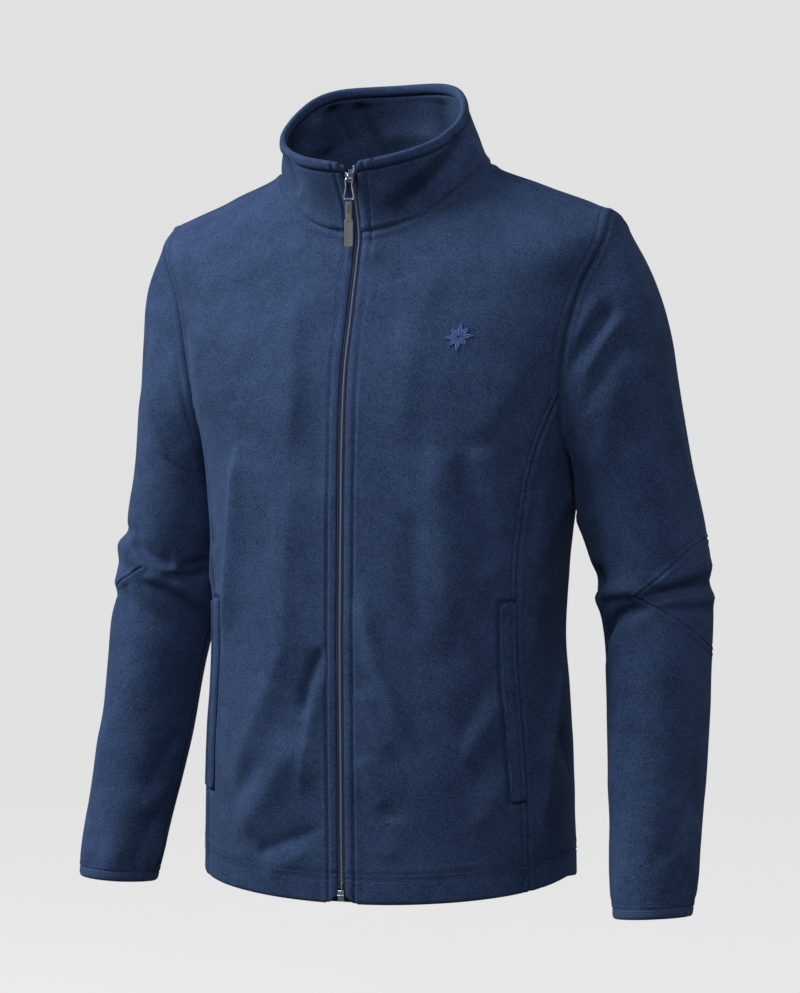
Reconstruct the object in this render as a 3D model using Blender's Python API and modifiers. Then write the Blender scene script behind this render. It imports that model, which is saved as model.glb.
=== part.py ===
"""Fleece zip jacket in its worn shape: fronts, side panels, back, sleeves with elbow panels, a
two-layer stand-up collar, pocket welts, cuff bindings and a full-length coil zip with its pull.

Metres, +Z up. The wearer faces -Y and the wearer's left is +X. The origin is in the middle of
the neck, level with the ends of the shoulder seams at the collar.
"""

import math
from collections import namedtuple

import bmesh
import bpy
import numpy as np
from mathutils import Matrix, Vector

# ---------------------------------------------------------------- cloth
FLEECE = 0.0024  # one layer of fleece
HEM_WALL = 0.0044  # two layers, where the bottom edge is turned up
HEM_HEIGHT = 0.024
COLLAR_WALL = 0.0046  # two layers, rolled over at the top
SEAM_GAP = 0.0003  # between two pieces at a seam

# ---------------------------------------------------------------- body
# Rings round the body from the hem to the top of the collar. "up" counts along the cloth, the
# depths "front" and "back" are measured from "middle_y", and "square" is the exponent of the
# rounded outline. A ring rises from its sides to z_front and z_back as |cos| ** "bow", and
# "crown" lifts it between its sides and the middle of the back.
BodyRing = namedtuple("BodyRing", "up half_width front back middle_y square z_side z_front z_back bow crown")
BODY_RINGS = [
    BodyRing(0.000, 0.186, 0.1010, 0.1150, -0.0170, 2.30, -0.668, -0.692, -0.680, 1.3, 0.0),
    BodyRing(0.120, 0.183, 0.1030, 0.1130, -0.0170, 2.35, -0.557, -0.576, -0.562, 1.3, 0.0),
    BodyRing(0.240, 0.1753, 0.1060, 0.1090, -0.0160, 2.40, -0.440, -0.452, -0.442, 1.3, 0.0),
    BodyRing(0.340, 0.1802, 0.1080, 0.1120, -0.0125, 2.45, -0.342, -0.350, -0.340, 1.4, 0.0),
    BodyRing(0.420, 0.192, 0.1125, 0.1160, -0.0060, 2.45, -0.262, -0.268, -0.258, 1.4, 0.0),
    BodyRing(0.500, 0.213, 0.1085, 0.1160, -0.0040, 2.40, -0.184, -0.200, -0.178, 1.4, 0.0),
    BodyRing(0.575, 0.225, 0.0935, 0.1060, -0.0060, 2.35, -0.113, -0.148, -0.103, 1.4, 0.0),
    BodyRing(0.635, 0.232, 0.0755, 0.0930, -0.0150, 2.20, -0.058, -0.113, -0.048, 1.4, 0.0),
    BodyRing(0.695, 0.165, 0.0665, 0.0830, -0.0185, 2.10, -0.0268, -0.0905, -0.0160, 1.4, 0.0),
    BodyRing(0.755, 0.107, 0.0595, 0.0780, -0.0220, 2.00, -0.001, -0.068, 0.010, 1.4, 0.0),
    BodyRing(0.795, 0.097, 0.0585, 0.0700, -0.0300, 2.10, 0.020, -0.040, 0.047, 1.1, 0.5),
    BodyRing(0.833, 0.0925, 0.0610, 0.0660, -0.0446, 2.25, 0.039, -0.005, 0.0815, 1.0, 1.1),
]
NECK_UP = 0.755
COLLAR_TOP_UP = 0.833
COLLAR_SWAY = 0.010  # the back of the collar's top sits this far to the wearer's right

# Seams that run up the body: degrees round from the front, positive to the wearer's left.
# Their last point, on the armhole, is worked out from the armhole's own sizes.
SeamPoint = namedtuple("SeamPoint", "up degrees")
FRONT_SEAM = [
    SeamPoint(0.000, 61.5),
    SeamPoint(0.240, 59.5),
    SeamPoint(0.340, 58.5),
    SeamPoint(0.400, 60.0),
]
BACK_SEAM = [
    SeamPoint(0.000, 120.0),
    SeamPoint(0.240, 119.0),
    SeamPoint(0.400, 116.0),
]
SHOULDER_DEG = 88.0

# The armhole is an oval on the body. Its angle is 0 at the front, 90 at the shoulder, 180 at
# the back and -90 under the arm.
ARMHOLE_MIDDLE_UP = 0.521
ARMHOLE_HALF_HEIGHT = 0.119
ARMHOLE_HALF_FRONT_DEG = 26.5
ARMHOLE_HALF_BACK_DEG = 29.0
ARMHOLE_FRONT_SEAM = -30.0
ARMHOLE_BACK_SEAM = 210.0
ARMHOLE_SHOULDER = 90.0

# ---------------------------------------------------------------- sleeves
# Middle line of the wearer's left sleeve below the cap, with its half-sizes.
SleeveRing = namedtuple("SleeveRing", "along x y z half_side half_front")
SLEEVE_RINGS = [
    SleeveRing(0.100, 0.2422, 0.0198, -0.3250, 0.0575, 0.0600),
    SleeveRing(0.130, 0.2496, 0.0215, -0.3550, 0.0560, 0.0590),
    SleeveRing(0.160, 0.2562, 0.0205, -0.3850, 0.0548, 0.0570),
    SleeveRing(0.195, 0.2612, 0.0182, -0.4200, 0.0520, 0.0545),
    SleeveRing(0.251, 0.2665, 0.0083, -0.4760, 0.0485, 0.0510),
    SleeveRing(0.320, 0.2708, -0.0047, -0.5455, 0.0460, 0.0485),
    SleeveRing(0.403, 0.2765, -0.0284, -0.6286, 0.0418, 0.0434),
    SleeveRing(0.440, 0.2790, -0.0386, -0.6657, 0.0402, 0.0416),
    SleeveRing(0.456, 0.2800, -0.0430, -0.6817, 0.0388, 0.0402),
    SleeveRing(0.472, 0.2810, -0.0474, -0.6978, 0.0354, 0.0368),
    SleeveRing(0.485, 0.2818, -0.0505, -0.7098, 0.0340, 0.0354),
]
CAP_ALONG = SLEEVE_RINGS[0].along
CUFF_ALONG = {"left": 0.4725, "right": 0.466}  # at the front of the cuff's seam
CUFF_TILT = 0.0077  # half of how much higher the seam is at the back
CUFF_HEIGHT = 0.0068
CUFF_RAISE = 0.0006  # how far the binding stands out from the sleeve, on both sides

# Where the sleeve leaves the armhole: outward, forward at its front edge, and down.
CAP_OUT = 0.70
CAP_FORWARD = 0.12
CAP_FALL = 0.78

# Soft folds about the elbow, raised or sunk by "depth". Each runs "reach" degrees either way
# from its middle, and falls by "lean" metres a degree.
Fold = namedtuple("Fold", "degrees along lean reach width depth")
SLEEVE_FOLDS = [
    Fold(-20.0, 0.214, -0.00045, 70.0, 0.014, -0.0035),
    Fold(-25.0, 0.180, -0.00010, 75.0, 0.013, 0.0030),
    Fold(-60.0, 0.158, 0.00010, 50.0, 0.012, -0.0030),
    Fold(75.0, 0.178, -0.00020, 60.0, 0.013, -0.0025),
    Fold(15.0, 0.020, -0.00010, 45.0, 0.012, -0.0035),
]

# The elbow panel is a lens that wraps the back and the outside of the elbow.
ELBOW_ALONG = {"left": 0.183, "right": 0.168}
ELBOW_HALF_HEIGHT = 0.047
ELBOW_FROM_DEG = 0.0
ELBOW_TO_DEG = 225.0

# ---------------------------------------------------------------- zip and pockets
ZIP_EDGE = 0.0042  # from the centre line to the fold of each front
TAPE_WALL = 0.0006
TAPE_INNER_EDGE = 0.0006  # from the centre line, as are the coil's edges
COIL_EDGES = (0.0002, 0.0036)
COIL_DEPTHS = (0.0003, 0.0023)  # front and back, behind the face of the cloth
COIL_UP = (0.0113, 0.8195)
BOX_SIZE = (0.0066, 0.0030, 0.0104)
BOX_PROUD = 0.0006  # how far the box stands in front of the cloth's face
BOX_RAISE = 0.0004  # of its lower end, from the hem
BOX_BEVEL = 0.0007
WELT_UP = (0.088, 0.272)
WELT_WALL = 0.0016

SLIDER_UP = 0.820
SLIDER_PLATE = (0.0084, 0.0012, 0.0100)
SLIDER_PLATE_DROP = 0.0008  # the middle of the front plate, below that of the back one
SLIDER_BACK = (0.0078, 0.0012, 0.0090)
SLIDER_CLEAR_FRONT = 0.0006  # between the cloth's face and the front plate
SLIDER_CLEAR_BACK = 0.0004
SLIDER_BEVEL = 0.0004
POST_WIDTH = 0.0026
POST_RAISE = 0.0018
BRIDGE_HALF_LENGTH = 0.0034
BRIDGE_REACH = 0.0033
BRIDGE_WIRE = 0.0008  # radius
LOOP_WIRE = 0.00065  # radius
LOOP_HALF_TOP = 0.0038
LOOP_HALF_BOTTOM = 0.0048
LOOP_DROP = 0.0195
LOOP_CORNER = 0.0014
PIVOT_OUT = 0.0029  # of the loop's top wire, from the face of the cloth
PIVOT_RISE = -0.0012
EYE_RADIUS = 0.0018
EYE_BORE = 0.0009
EYE_LENGTH = 0.0060
TAB_WALL = 0.0013
TAB_NECK = (0.0066, 0.0185)  # width and length
TAB_GRIP = (0.0094, 0.0260)
TAB_LAP = 0.0010  # how far the grip runs up over the neck
TAB_BEVEL = 0.0005
EYE_CLEAR = 0.0003  # between the eye's bore and the top of the neck

# ---------------------------------------------------------------- how finely it is divided
# Rows run round the body or the sleeve, and columns run along it.
ARMHOLE_STEP = 15.0  # degrees, also between a sleeve's columns
ARMHOLE_ROWS = 8
PANEL_COLUMNS = np.array([0.0, 0.051, 0.16, 0.27, 0.38, 0.49, 0.60, 0.71, 0.79, 0.855, 0.915, 0.978, 1.0])
TAPE_COLUMNS = 2  # of the columns from the zip, where the tape is sewn on and the hem is one layer
SHOULDER_COLUMN = 5  # the column that ends where the shoulder seam meets the neck
WELT_COLUMNS = (9, 11)
HEM_STEP = 0.002  # the hem's wall thins over this height
LOW_UP = 0.057  # a row between the hem and the welt
ROW_UPS = np.concatenate([
    [0.0, HEM_HEIGHT, HEM_HEIGHT + HEM_STEP, LOW_UP],
    np.linspace(*WELT_UP, 7),
    np.linspace(WELT_UP[1], ARMHOLE_MIDDLE_UP - 0.5 * ARMHOLE_HALF_HEIGHT, 7)[1:],
])
TURNED_ROWS = 5  # rows of a front or back, below the armhole's own, that turn to meet its top
COLLAR_ROWS = 5
COLLAR_ROLL = 0.3  # how far the top row is drawn in, as a part of the wall
SLEEVE_ANGLES = np.arange(-180.0, 180.0, ARMHOLE_STEP)
CAP_ROWS = (0.0, 0.08, 0.20, 0.34, 0.48, 0.62, 0.76, 0.89)  # parts of the cap's length
UPPER_ARM_ROWS = (0.0, 0.28, 0.54, 0.78)  # parts of the way from the cap to the elbow panel
FOREARM_ROWS = (0.2, 0.42, 0.68, 1.0)  # parts of the way from the panel to FOREARM_ALONG
FOREARM_ALONG = 0.270
LOWER_ROWS = np.linspace(0, 1, 8)[1:]  # parts of the way from FOREARM_ALONG to the cuff
ELBOW_ROWS = np.linspace(-1, 1, 5)
ELBOW_END_INSET = 1.0  # degrees, at the panel's two corners
CUFF_ROWS = np.array([0.0, 0.15, 0.85, 1.0])  # parts of the binding's height
CUFF_PROUD = np.array([0.3, 1.0, 1.0, 0.3])  # parts of CUFF_RAISE at those rows
COIL_ROW_CLEAR = 0.004  # no row of the coil lies nearer its ends

# A strip of rim between two layers is split along the diagonal from its higher end, measured
# along this direction and out from the middle, so both sides of a seam are split alike.
RIM_ORDER = np.array([0.0, 0.17, 1.0])
RIM_ORDER_OUT = 0.31

NAVY = (0.018, 0.026, 0.052, 1.0)
NAVY_BINDING = (0.012, 0.016, 0.032, 1.0)
COIL_NAVY = (0.030, 0.034, 0.048, 1.0)
SLIDER_METAL = (0.30, 0.29, 0.28, 1.0)
PULL_TAUPE = (0.16, 0.145, 0.13, 1.0)

for old in list(bpy.data.objects):
    bpy.data.objects.remove(old, do_unlink=True)
jacket = bpy.data.collections.new("fleece_jacket")
bpy.context.scene.collection.children.link(jacket)
tool_shapes = bpy.data.collections.new("tool_shapes")
bpy.context.scene.collection.children.link(tool_shapes)


# ---------------------------------------------------------------- curves through tables
def smooth(at, knots, values):
    """The cubic curve through the values at the knots, its slopes taken from the neighbours."""
    knots = np.asarray(knots, float)
    values = np.asarray(values, float)
    at = np.clip(np.asarray(at, float), knots[0], knots[-1])
    slopes = np.gradient(values, knots, axis=0)
    low = np.clip(np.searchsorted(knots, at, side="right") - 1, 0, len(knots) - 2)
    step = knots[low + 1] - knots[low]
    t = (at - knots[low]) / step
    if values.ndim > 1:
        t = t[..., None]
        step = step[..., None]
    return (
        (1 + 2 * t) * (1 - t) ** 2 * values[low]
        + t * (1 - t) ** 2 * step * slopes[low]
        + t * t * (3 - 2 * t) * values[low + 1]
        + t * t * (t - 1) * step * slopes[low + 1]
    )


def table_at(rows, at):
    """Each column after the first of a table, at places along its first column."""
    table = np.array(rows)
    return np.moveaxis(smooth(at, table[:, 0], table[:, 1:]), -1, 0)


def unit(vectors):
    return vectors / np.linalg.norm(vectors, axis=-1, keepdims=True)


def normal_of(surface, across, along, step):
    """The normal of surface(across, along) from its slopes, over a step each way."""
    side = surface(across + step[0], along) - surface(across - step[0], along)
    rise = surface(across, along + step[1]) - surface(across, along - step[1])
    return unit(np.cross(side, rise))


# ---------------------------------------------------------------- the body's surface
def body_point(degrees, up):
    """The outer face of the body at an angle round from the front and a way up from the hem."""
    degrees, up = np.broadcast_arrays(np.asarray(degrees, float), np.asarray(up, float))
    rows = table_at(BODY_RINGS, up)
    half_width, front, back, middle_y, square, z_side, z_front, z_back, bow, crown = rows
    turn = np.radians(degrees)
    sin = np.sin(turn)
    cos = np.cos(turn)
    reach = (np.abs(sin) ** square + np.abs(cos) ** square) ** (-1 / square)
    depth = np.where(cos > 0, front, back)
    z_end = np.where(cos > 0, z_front, z_back)
    lift = np.where(cos > 0, 0.0, crown * cos**2 * (1 - np.abs(cos)))
    z = z_side + (z_end - z_side) * (np.abs(cos) ** bow + lift)
    rise = np.clip((up - NECK_UP) / (COLLAR_TOP_UP - NECK_UP), 0, 1)
    sway = COLLAR_SWAY * rise * (0.5 - 0.5 * cos) ** 2
    return np.stack([half_width * sin * reach - sway, middle_y - depth * cos * reach, z], axis=-1)


def body_normal(degrees, up):
    return normal_of(body_point, degrees, np.clip(up, 0.001, COLLAR_TOP_UP - 0.001), (0.2, 0.001))


def body_step(degrees, up, across, rise):
    """The angle and the way up after moving over the cloth, in metres across and upwards."""
    degree = np.linalg.norm(body_point(degrees + 0.5, up) - body_point(degrees - 0.5, up), axis=-1)
    step = 0.001
    inside = np.clip(up, step, COLLAR_TOP_UP - step)
    climb = body_point(degrees, inside + step) - body_point(degrees, inside - step)
    climb = np.linalg.norm(climb, axis=-1) / (2 * step)
    return degrees + across / degree, up + rise / climb


def degrees_at_x(x, up):
    """The angle on the front at a distance x from the centre line."""
    half_width = table_at(BODY_RINGS, up)[0]
    return np.degrees(np.arcsin(x / half_width))


def armhole(angle):
    """(degrees, up) on the body of a place on the armhole."""
    turn = np.radians(angle)
    half = np.where(np.cos(turn) > 0, ARMHOLE_HALF_FRONT_DEG, ARMHOLE_HALF_BACK_DEG)
    degrees = SHOULDER_DEG - half * np.cos(turn)
    return degrees, ARMHOLE_MIDDLE_UP + ARMHOLE_HALF_HEIGHT * np.sin(turn)


def seam_degrees(seam, armhole_angle, up):
    """The angle of a seam that runs up to a place on the armhole."""
    degrees, top = armhole(armhole_angle)
    return table_at(list(seam) + [SeamPoint(top, degrees)], up)[0]


# ---------------------------------------------------------------- the sleeves' surface
def sleeve_axis(along):
    """Middle, side, front and down directions and half-sizes of the sleeve's tube."""
    x, y, z, half_side, half_front = table_at(SLEEVE_RINGS, along)
    step = 0.004
    below = np.stack(table_at(SLEEVE_RINGS, along + step)[:3], axis=-1)
    above = np.stack(table_at(SLEEVE_RINGS, along - step)[:3], axis=-1)
    down = unit(below - above)
    side = unit(np.cross(np.broadcast_to([0.0, 1.0, 0.0], down.shape), -down))
    front = np.cross(side, -down)
    return np.stack([x, y, z], axis=-1), side, front, down, half_side, half_front


def tube_point(angle, along):
    middle, side, front, _, half_side, half_front = sleeve_axis(along)
    turn = np.radians(angle)
    across = half_side * np.sin(turn)
    forward = half_front * np.cos(turn)
    return middle + across[..., None] * side + forward[..., None] * front


def fold_height(angle, along):
    """How far the folds raise the sleeve: soft ridges and troughs, fading towards their ends."""
    height = np.zeros(np.broadcast(angle, along).shape)
    for fold in SLEEVE_FOLDS:
        turn = (angle - fold.degrees + 180) % 360 - 180
        fade = np.cos(np.clip(turn / fold.reach, -1, 1) * math.pi / 2) ** 2
        off = (along - fold.along - fold.lean * turn) / fold.width
        height = height + fold.depth * fade * np.exp(-off * off)
    return height


def sleeve_point(angle, along):
    """The outer face of the left sleeve: a cap from the armhole to the tube, then the tube."""
    angle, along = np.broadcast_arrays(np.asarray(angle, float), np.asarray(along, float))
    tube = tube_point(angle, np.maximum(along, CAP_ALONG))
    first = tube_point(angle, np.full_like(along, CAP_ALONG))
    down = sleeve_axis(np.full_like(along, CAP_ALONG))[3]
    start = body_point(*armhole(angle))
    turn = np.radians(angle)
    level = np.ones_like(turn)
    leave = np.stack([CAP_OUT * level, -CAP_FORWARD * np.cos(turn), -CAP_FALL * level], axis=-1)
    reach = np.linalg.norm(first - start, axis=-1)[..., None]
    t = np.clip(along / CAP_ALONG, 0, 1)[..., None]
    cap = (
        (1 + 2 * t) * (1 - t) ** 2 * start
        + t * (1 - t) ** 2 * reach * unit(leave)
        + t * t * (3 - 2 * t) * first
        + t * t * (t - 1) * reach * down
    )
    plain = np.where((along < CAP_ALONG)[..., None], cap, tube)
    outward = unit(plain - sleeve_axis(np.maximum(along, CAP_ALONG))[0])
    fade = np.clip(along / 0.02, 0, 1)
    return plain + (fold_height(angle, along) * fade)[..., None] * outward


def sleeve_normal(angle, along):
    along = np.clip(along, 0.0012, SLEEVE_RINGS[-1].along - 0.0012)
    return -normal_of(sleeve_point, angle, along, (0.5, 0.001))


# ---------------------------------------------------------------- pieces
def paint(name, color, roughness, metallic=0.0):
    material = bpy.data.materials.new(name)
    material.use_nodes = True
    shader = material.node_tree.nodes["Principled BSDF"]
    shader.inputs["Base Color"].default_value = color
    shader.inputs["Roughness"].default_value = roughness
    shader.inputs["Metallic"].default_value = metallic
    return material


def mirrored(points, side):
    """Points of the wearer's left side, or their images on the right."""
    return points if side == "left" else points * np.array([-1.0, 1.0, 1.0])


def grid_quads(ids):
    return np.stack([ids[:-1, :-1], ids[:-1, 1:], ids[1:, 1:], ids[1:, :-1]], axis=-1).reshape(-1, 4)


def cloth(name, outer, inner, material, quads=None):
    """A wall of cloth lofted between an outer and an inner layer, closed along every free edge."""
    if quads is None:
        quads = grid_quads(np.arange(outer[..., 0].size).reshape(outer.shape[:2]))
    outer = outer.reshape(-1, 3)
    inner = inner.reshape(-1, 3)
    used, quads = np.unique(quads, return_inverse=True)
    quads = quads.reshape(-1, 4)
    outer = outer[used]
    inner = inner[used]
    middle = quads[len(quads) // 2]
    across = np.cross(outer[middle[2]] - outer[middle[0]], outer[middle[3]] - outer[middle[1]])
    if np.dot(across, outer[middle[0]] - inner[middle[0]]) < 0:
        quads = quads[:, ::-1]
    faces = [tuple(dict.fromkeys(quad)) for quad in quads.tolist()]
    edges = {(a, b) for face in faces for a, b in zip(face, face[1:] + face[:1])}
    free = sorted((a, b) for a, b in edges if (b, a) not in edges)
    count = len(outer)
    under = [tuple(count + i for i in reversed(face)) for face in faces]
    height = outer @ RIM_ORDER + np.abs(outer[:, 0]) * RIM_ORDER_OUT
    rim = []
    for a, b in free:
        if height[a] > height[b]:
            rim += [(b, a, count + b), (a, count + a, count + b)]
        else:
            rim += [(b, a, count + a), (b, count + a, count + b)]
    mesh = bpy.data.meshes.new(name)
    mesh.from_pydata(np.concatenate([outer, inner]).tolist(), [], faces + under + rim)
    mesh.shade_smooth()
    mesh.set_sharp_from_angle(angle=math.radians(50))
    mesh.materials.append(material)
    piece = bpy.data.objects.new(name, mesh)
    jacket.objects.link(piece)
    return piece


def armhole_slant(angle):
    """The slant through the wall that a panel's and the sleeve's cut edges share at the armhole."""
    return -unit(body_normal(*armhole(angle)) + sleeve_normal(angle, np.zeros_like(angle)))


def toward_sleeve(angle):
    """The way across the armhole seam to the sleeve, square to the seam and to the slant."""
    tangent = body_point(*armhole(angle + 1)) - body_point(*armhole(angle - 1))
    toward = np.cross(tangent, armhole_slant(angle))
    sleeve = sleeve_point(angle, np.full_like(angle, CAP_ROWS[1] * CAP_ALONG)) - body_point(*armhole(angle))
    return unit(toward * np.sign(np.sum(toward * sleeve, axis=-1, keepdims=True)))


def body_layers(degrees, up, wall, across=0.0, rise=0.0):
    """Outer and inner points of a wall on the body, moved over the cloth by across and rise.

    The way through the wall is the one at the unmoved place, so that two edges which meet at a
    seam stay parallel.
    """
    outer = body_point(*body_step(degrees, up, across, rise))
    through = np.broadcast_to(wall, degrees.shape)[..., None] * body_normal(degrees, up)
    return outer, outer - through


# ---------------------------------------------------------------- fronts, back and side panels
def middle_row_ups():
    """The way up of each row of a front or the back at its middle edge."""
    return np.concatenate([ROW_UPS, np.linspace(ROW_UPS[-1], NECK_UP, ARMHOLE_ROWS + 1)[1:]])


def blend_to_top(degrees, up, top_degrees, top_up, level_rows):
    """Turn the rows above the level ones up, so that the last one follows the top edge."""
    rows = len(degrees)
    lift = np.clip((np.arange(rows) - level_rows) / (rows - 1 - level_rows), 0, 1)[:, None] ** 1.5
    return degrees + lift * (top_degrees - degrees[-1]), up + lift * (top_up - up[-1])


def panel_places(middle_degrees, seam, armhole_from):
    """(degrees, up) of a panel's grid, from its middle line out to its side seam and armhole.

    Its top row follows the neckline to the shoulder seam, and then that seam to the armhole.
    """
    angles = np.linspace(armhole_from, ARMHOLE_SHOULDER, ARMHOLE_ROWS + 1)
    hole_degrees, hole_up = armhole(angles[1:])
    side_degrees = np.concatenate([seam_degrees(seam, armhole_from, ROW_UPS), hole_degrees])
    side_up = np.concatenate([ROW_UPS, hole_up])
    middle_up = middle_row_ups()
    middle = middle_degrees(middle_up)

    s = PANEL_COLUMNS
    neck = np.clip(s / s[SHOULDER_COLUMN], 0, 1)
    slope = np.clip((s - s[SHOULDER_COLUMN]) / (1 - s[SHOULDER_COLUMN]), 0, 1)
    top_degrees = middle[-1] + (SHOULDER_DEG - middle[-1]) * neck
    top_up = NECK_UP + (side_up[-1] - NECK_UP) * slope
    degrees = middle[:, None] * (1 - s) + side_degrees[:, None] * s
    up = middle_up[:, None] * (1 - s) + side_up[:, None] * s
    return blend_to_top(degrees, up, top_degrees, top_up, len(ROW_UPS) - 1 - TURNED_ROWS)


def slant_edge(outer, inner, armhole_from):
    """Slant a panel's edge along the armhole as the sleeve's edge is slanted."""
    angles = np.linspace(armhole_from, ARMHOLE_SHOULDER, ARMHOLE_ROWS + 1)
    inner[-len(angles):, -1] = outer[-len(angles):, -1] + FLEECE * armhole_slant(angles)


def wall_at(up):
    return np.where(up <= HEM_HEIGHT, HEM_WALL, FLEECE)


def zip_edge_degrees(up):
    return degrees_at_x(ZIP_EDGE, up)


def make_front(side, material):
    """A front from the zip to the side panel and the armhole, with its turned-up hem."""
    degrees, up = panel_places(zip_edge_degrees, FRONT_SEAM, ARMHOLE_FRONT_SEAM)
    wall = wall_at(up)
    wall[:, :TAPE_COLUMNS] = FLEECE
    outer, inner = body_layers(degrees, up, wall)
    slant_edge(outer, inner, ARMHOLE_FRONT_SEAM)
    cloth(f"front_{side}", mirrored(outer, side), mirrored(inner, side), material)


def make_back(material):
    """The back, in one piece: its left half and the image of that half."""
    degrees, up = panel_places(lambda up: np.full_like(up, 180.0), BACK_SEAM, ARMHOLE_BACK_SEAM)
    across = np.zeros_like(degrees)
    across[-1, SHOULDER_COLUMN:] = SEAM_GAP
    outer, inner = body_layers(degrees, up, wall_at(up), across=across)
    slant_edge(outer, inner, ARMHOLE_BACK_SEAM)
    outer = np.concatenate([outer[:, ::-1], mirrored(outer[:, 1:], "right")], axis=1)
    inner = np.concatenate([inner[:, ::-1], mirrored(inner[:, 1:], "right")], axis=1)
    cloth("back", outer, inner, material)


def make_side_panel(side, material):
    """The strip under the arm, whose top edge is the lowest part of the armhole."""
    angles = np.arange(ARMHOLE_FRONT_SEAM, ARMHOLE_BACK_SEAM - 361, -ARMHOLE_STEP)
    top_degrees, top_up = armhole(angles)
    s = np.linspace(0, 1, len(angles))
    front = seam_degrees(FRONT_SEAM, ARMHOLE_FRONT_SEAM, ROW_UPS)[:, None]
    back = seam_degrees(BACK_SEAM, ARMHOLE_BACK_SEAM, ROW_UPS)[:, None]
    degrees = front * (1 - s) + back * s
    up = np.repeat(ROW_UPS[:, None], len(s), axis=1)
    degrees, up = blend_to_top(degrees, up, top_degrees, top_up, len(ROW_UPS) // 2)
    across = np.zeros_like(degrees)
    across[:, 0] = SEAM_GAP
    across[:, -1] = -SEAM_GAP
    outer, inner = body_layers(degrees, up, wall_at(up), across=across)
    inner[-1] = outer[-1] + FLEECE * armhole_slant(angles)
    cloth(f"side_panel_{side}", mirrored(outer, side), mirrored(inner, side), material)


def make_welt(side, material):
    """The pocket's welt, from the front's own points moved out."""
    degrees, up = panel_places(zip_edge_degrees, FRONT_SEAM, ARMHOLE_FRONT_SEAM)
    first, last = np.searchsorted(ROW_UPS, WELT_UP)
    part = np.s_[first:last + 1, WELT_COLUMNS[0]:WELT_COLUMNS[1] + 1]
    face = body_point(degrees[part], up[part])
    normal = body_normal(degrees[part], up[part])
    outer = face + (SEAM_GAP + WELT_WALL) * normal
    inner = face + SEAM_GAP * normal
    cloth(f"pocket_welt_{side}", mirrored(outer, side), mirrored(inner, side), material)


# ---------------------------------------------------------------- collar
def collar_ups():
    """The way up of the collar's rows below the roll at its top."""
    return np.linspace(NECK_UP, COLLAR_TOP_UP - COLLAR_WALL / 2, COLLAR_ROWS)


def make_collar(material):
    """Two layers of fleece in one wall, rolled over at the top, from zip edge to zip edge."""
    ups = np.append(collar_ups(), COLLAR_TOP_UP - COLLAR_ROLL * COLLAR_WALL / 2)
    s = PANEL_COLUMNS[:SHOULDER_COLUMN + 1] / PANEL_COLUMNS[SHOULDER_COLUMN]
    edge = zip_edge_degrees(ups)[:, None]
    front = edge + (SHOULDER_DEG - edge) * s
    back = np.broadcast_to(180 + (SHOULDER_DEG - 180) * s[:-1][::-1], (len(ups), len(s) - 1))
    left = np.concatenate([front, back], axis=1)
    degrees = np.concatenate([left, 360 - left[:, -2::-1]], axis=1)
    up = np.repeat(ups[:, None], degrees.shape[1], axis=1)
    rise = np.zeros_like(up)
    rise[0] = SEAM_GAP
    outer, inner = body_layers(degrees, up, COLLAR_WALL, rise=rise)
    through = inner[-1] - outer[-1]
    outer[-1] += COLLAR_ROLL * through
    inner[-1] -= COLLAR_ROLL * through
    cloth("collar", outer, inner, material)


# ---------------------------------------------------------------- sleeves, elbow panels and cuffs
def elbow_half_height(angle):
    part = (angle - ELBOW_FROM_DEG) / (ELBOW_TO_DEG - ELBOW_FROM_DEG)
    return ELBOW_HALF_HEIGHT * np.sin(math.pi * np.clip(part, 0, 1))


def wrapped(angle):
    """The same angle, counted from the elbow panel's first corner."""
    return (angle - ELBOW_FROM_DEG) % 360 + ELBOW_FROM_DEG


def cuff_along(side, angle):
    """Where the cuff's seam lies: level all round on an arm that hangs a little forward."""
    return CUFF_ALONG[side] - CUFF_TILT * (1 - np.cos(np.radians(angle)))


def make_sleeve(side, material):
    """A sleeve from the armhole to the cuff, open where the elbow panel goes."""
    half = elbow_half_height(wrapped(SLEEVE_ANGLES))
    above = ELBOW_ALONG[side] - half
    below = ELBOW_ALONG[side] + half
    rows = [np.full_like(half, part * CAP_ALONG) for part in CAP_ROWS]
    rows += [CAP_ALONG + part * (above - CAP_ALONG) for part in UPPER_ARM_ROWS]
    last_above = len(rows)
    rows += [above, below]
    rows += [below + part * (FOREARM_ALONG - below) for part in FOREARM_ROWS]
    cuff = cuff_along(side, SLEEVE_ANGLES)
    rows += [FOREARM_ALONG + part * (cuff - FOREARM_ALONG) for part in LOWER_ROWS]
    along = np.stack(rows)
    angle = np.broadcast_to(SLEEVE_ANGLES, along.shape)
    outer = sleeve_point(angle, along)
    inner = outer - FLEECE * sleeve_normal(angle, along)
    outer[0] += SEAM_GAP * toward_sleeve(SLEEVE_ANGLES)
    inner[0] = outer[0] + FLEECE * armhole_slant(SLEEVE_ANGLES)

    ids = np.arange(along.size).reshape(along.shape)
    closed = half < 1e-9
    ids[last_above + 1, closed] = ids[last_above, closed]
    ids = np.column_stack([ids, ids[:, 0]])
    quads = np.concatenate([grid_quads(ids[:last_above + 1]), grid_quads(ids[last_above + 1:])])
    cloth(f"sleeve_{side}", mirrored(outer, side), mirrored(inner, side), material, quads)


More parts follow.
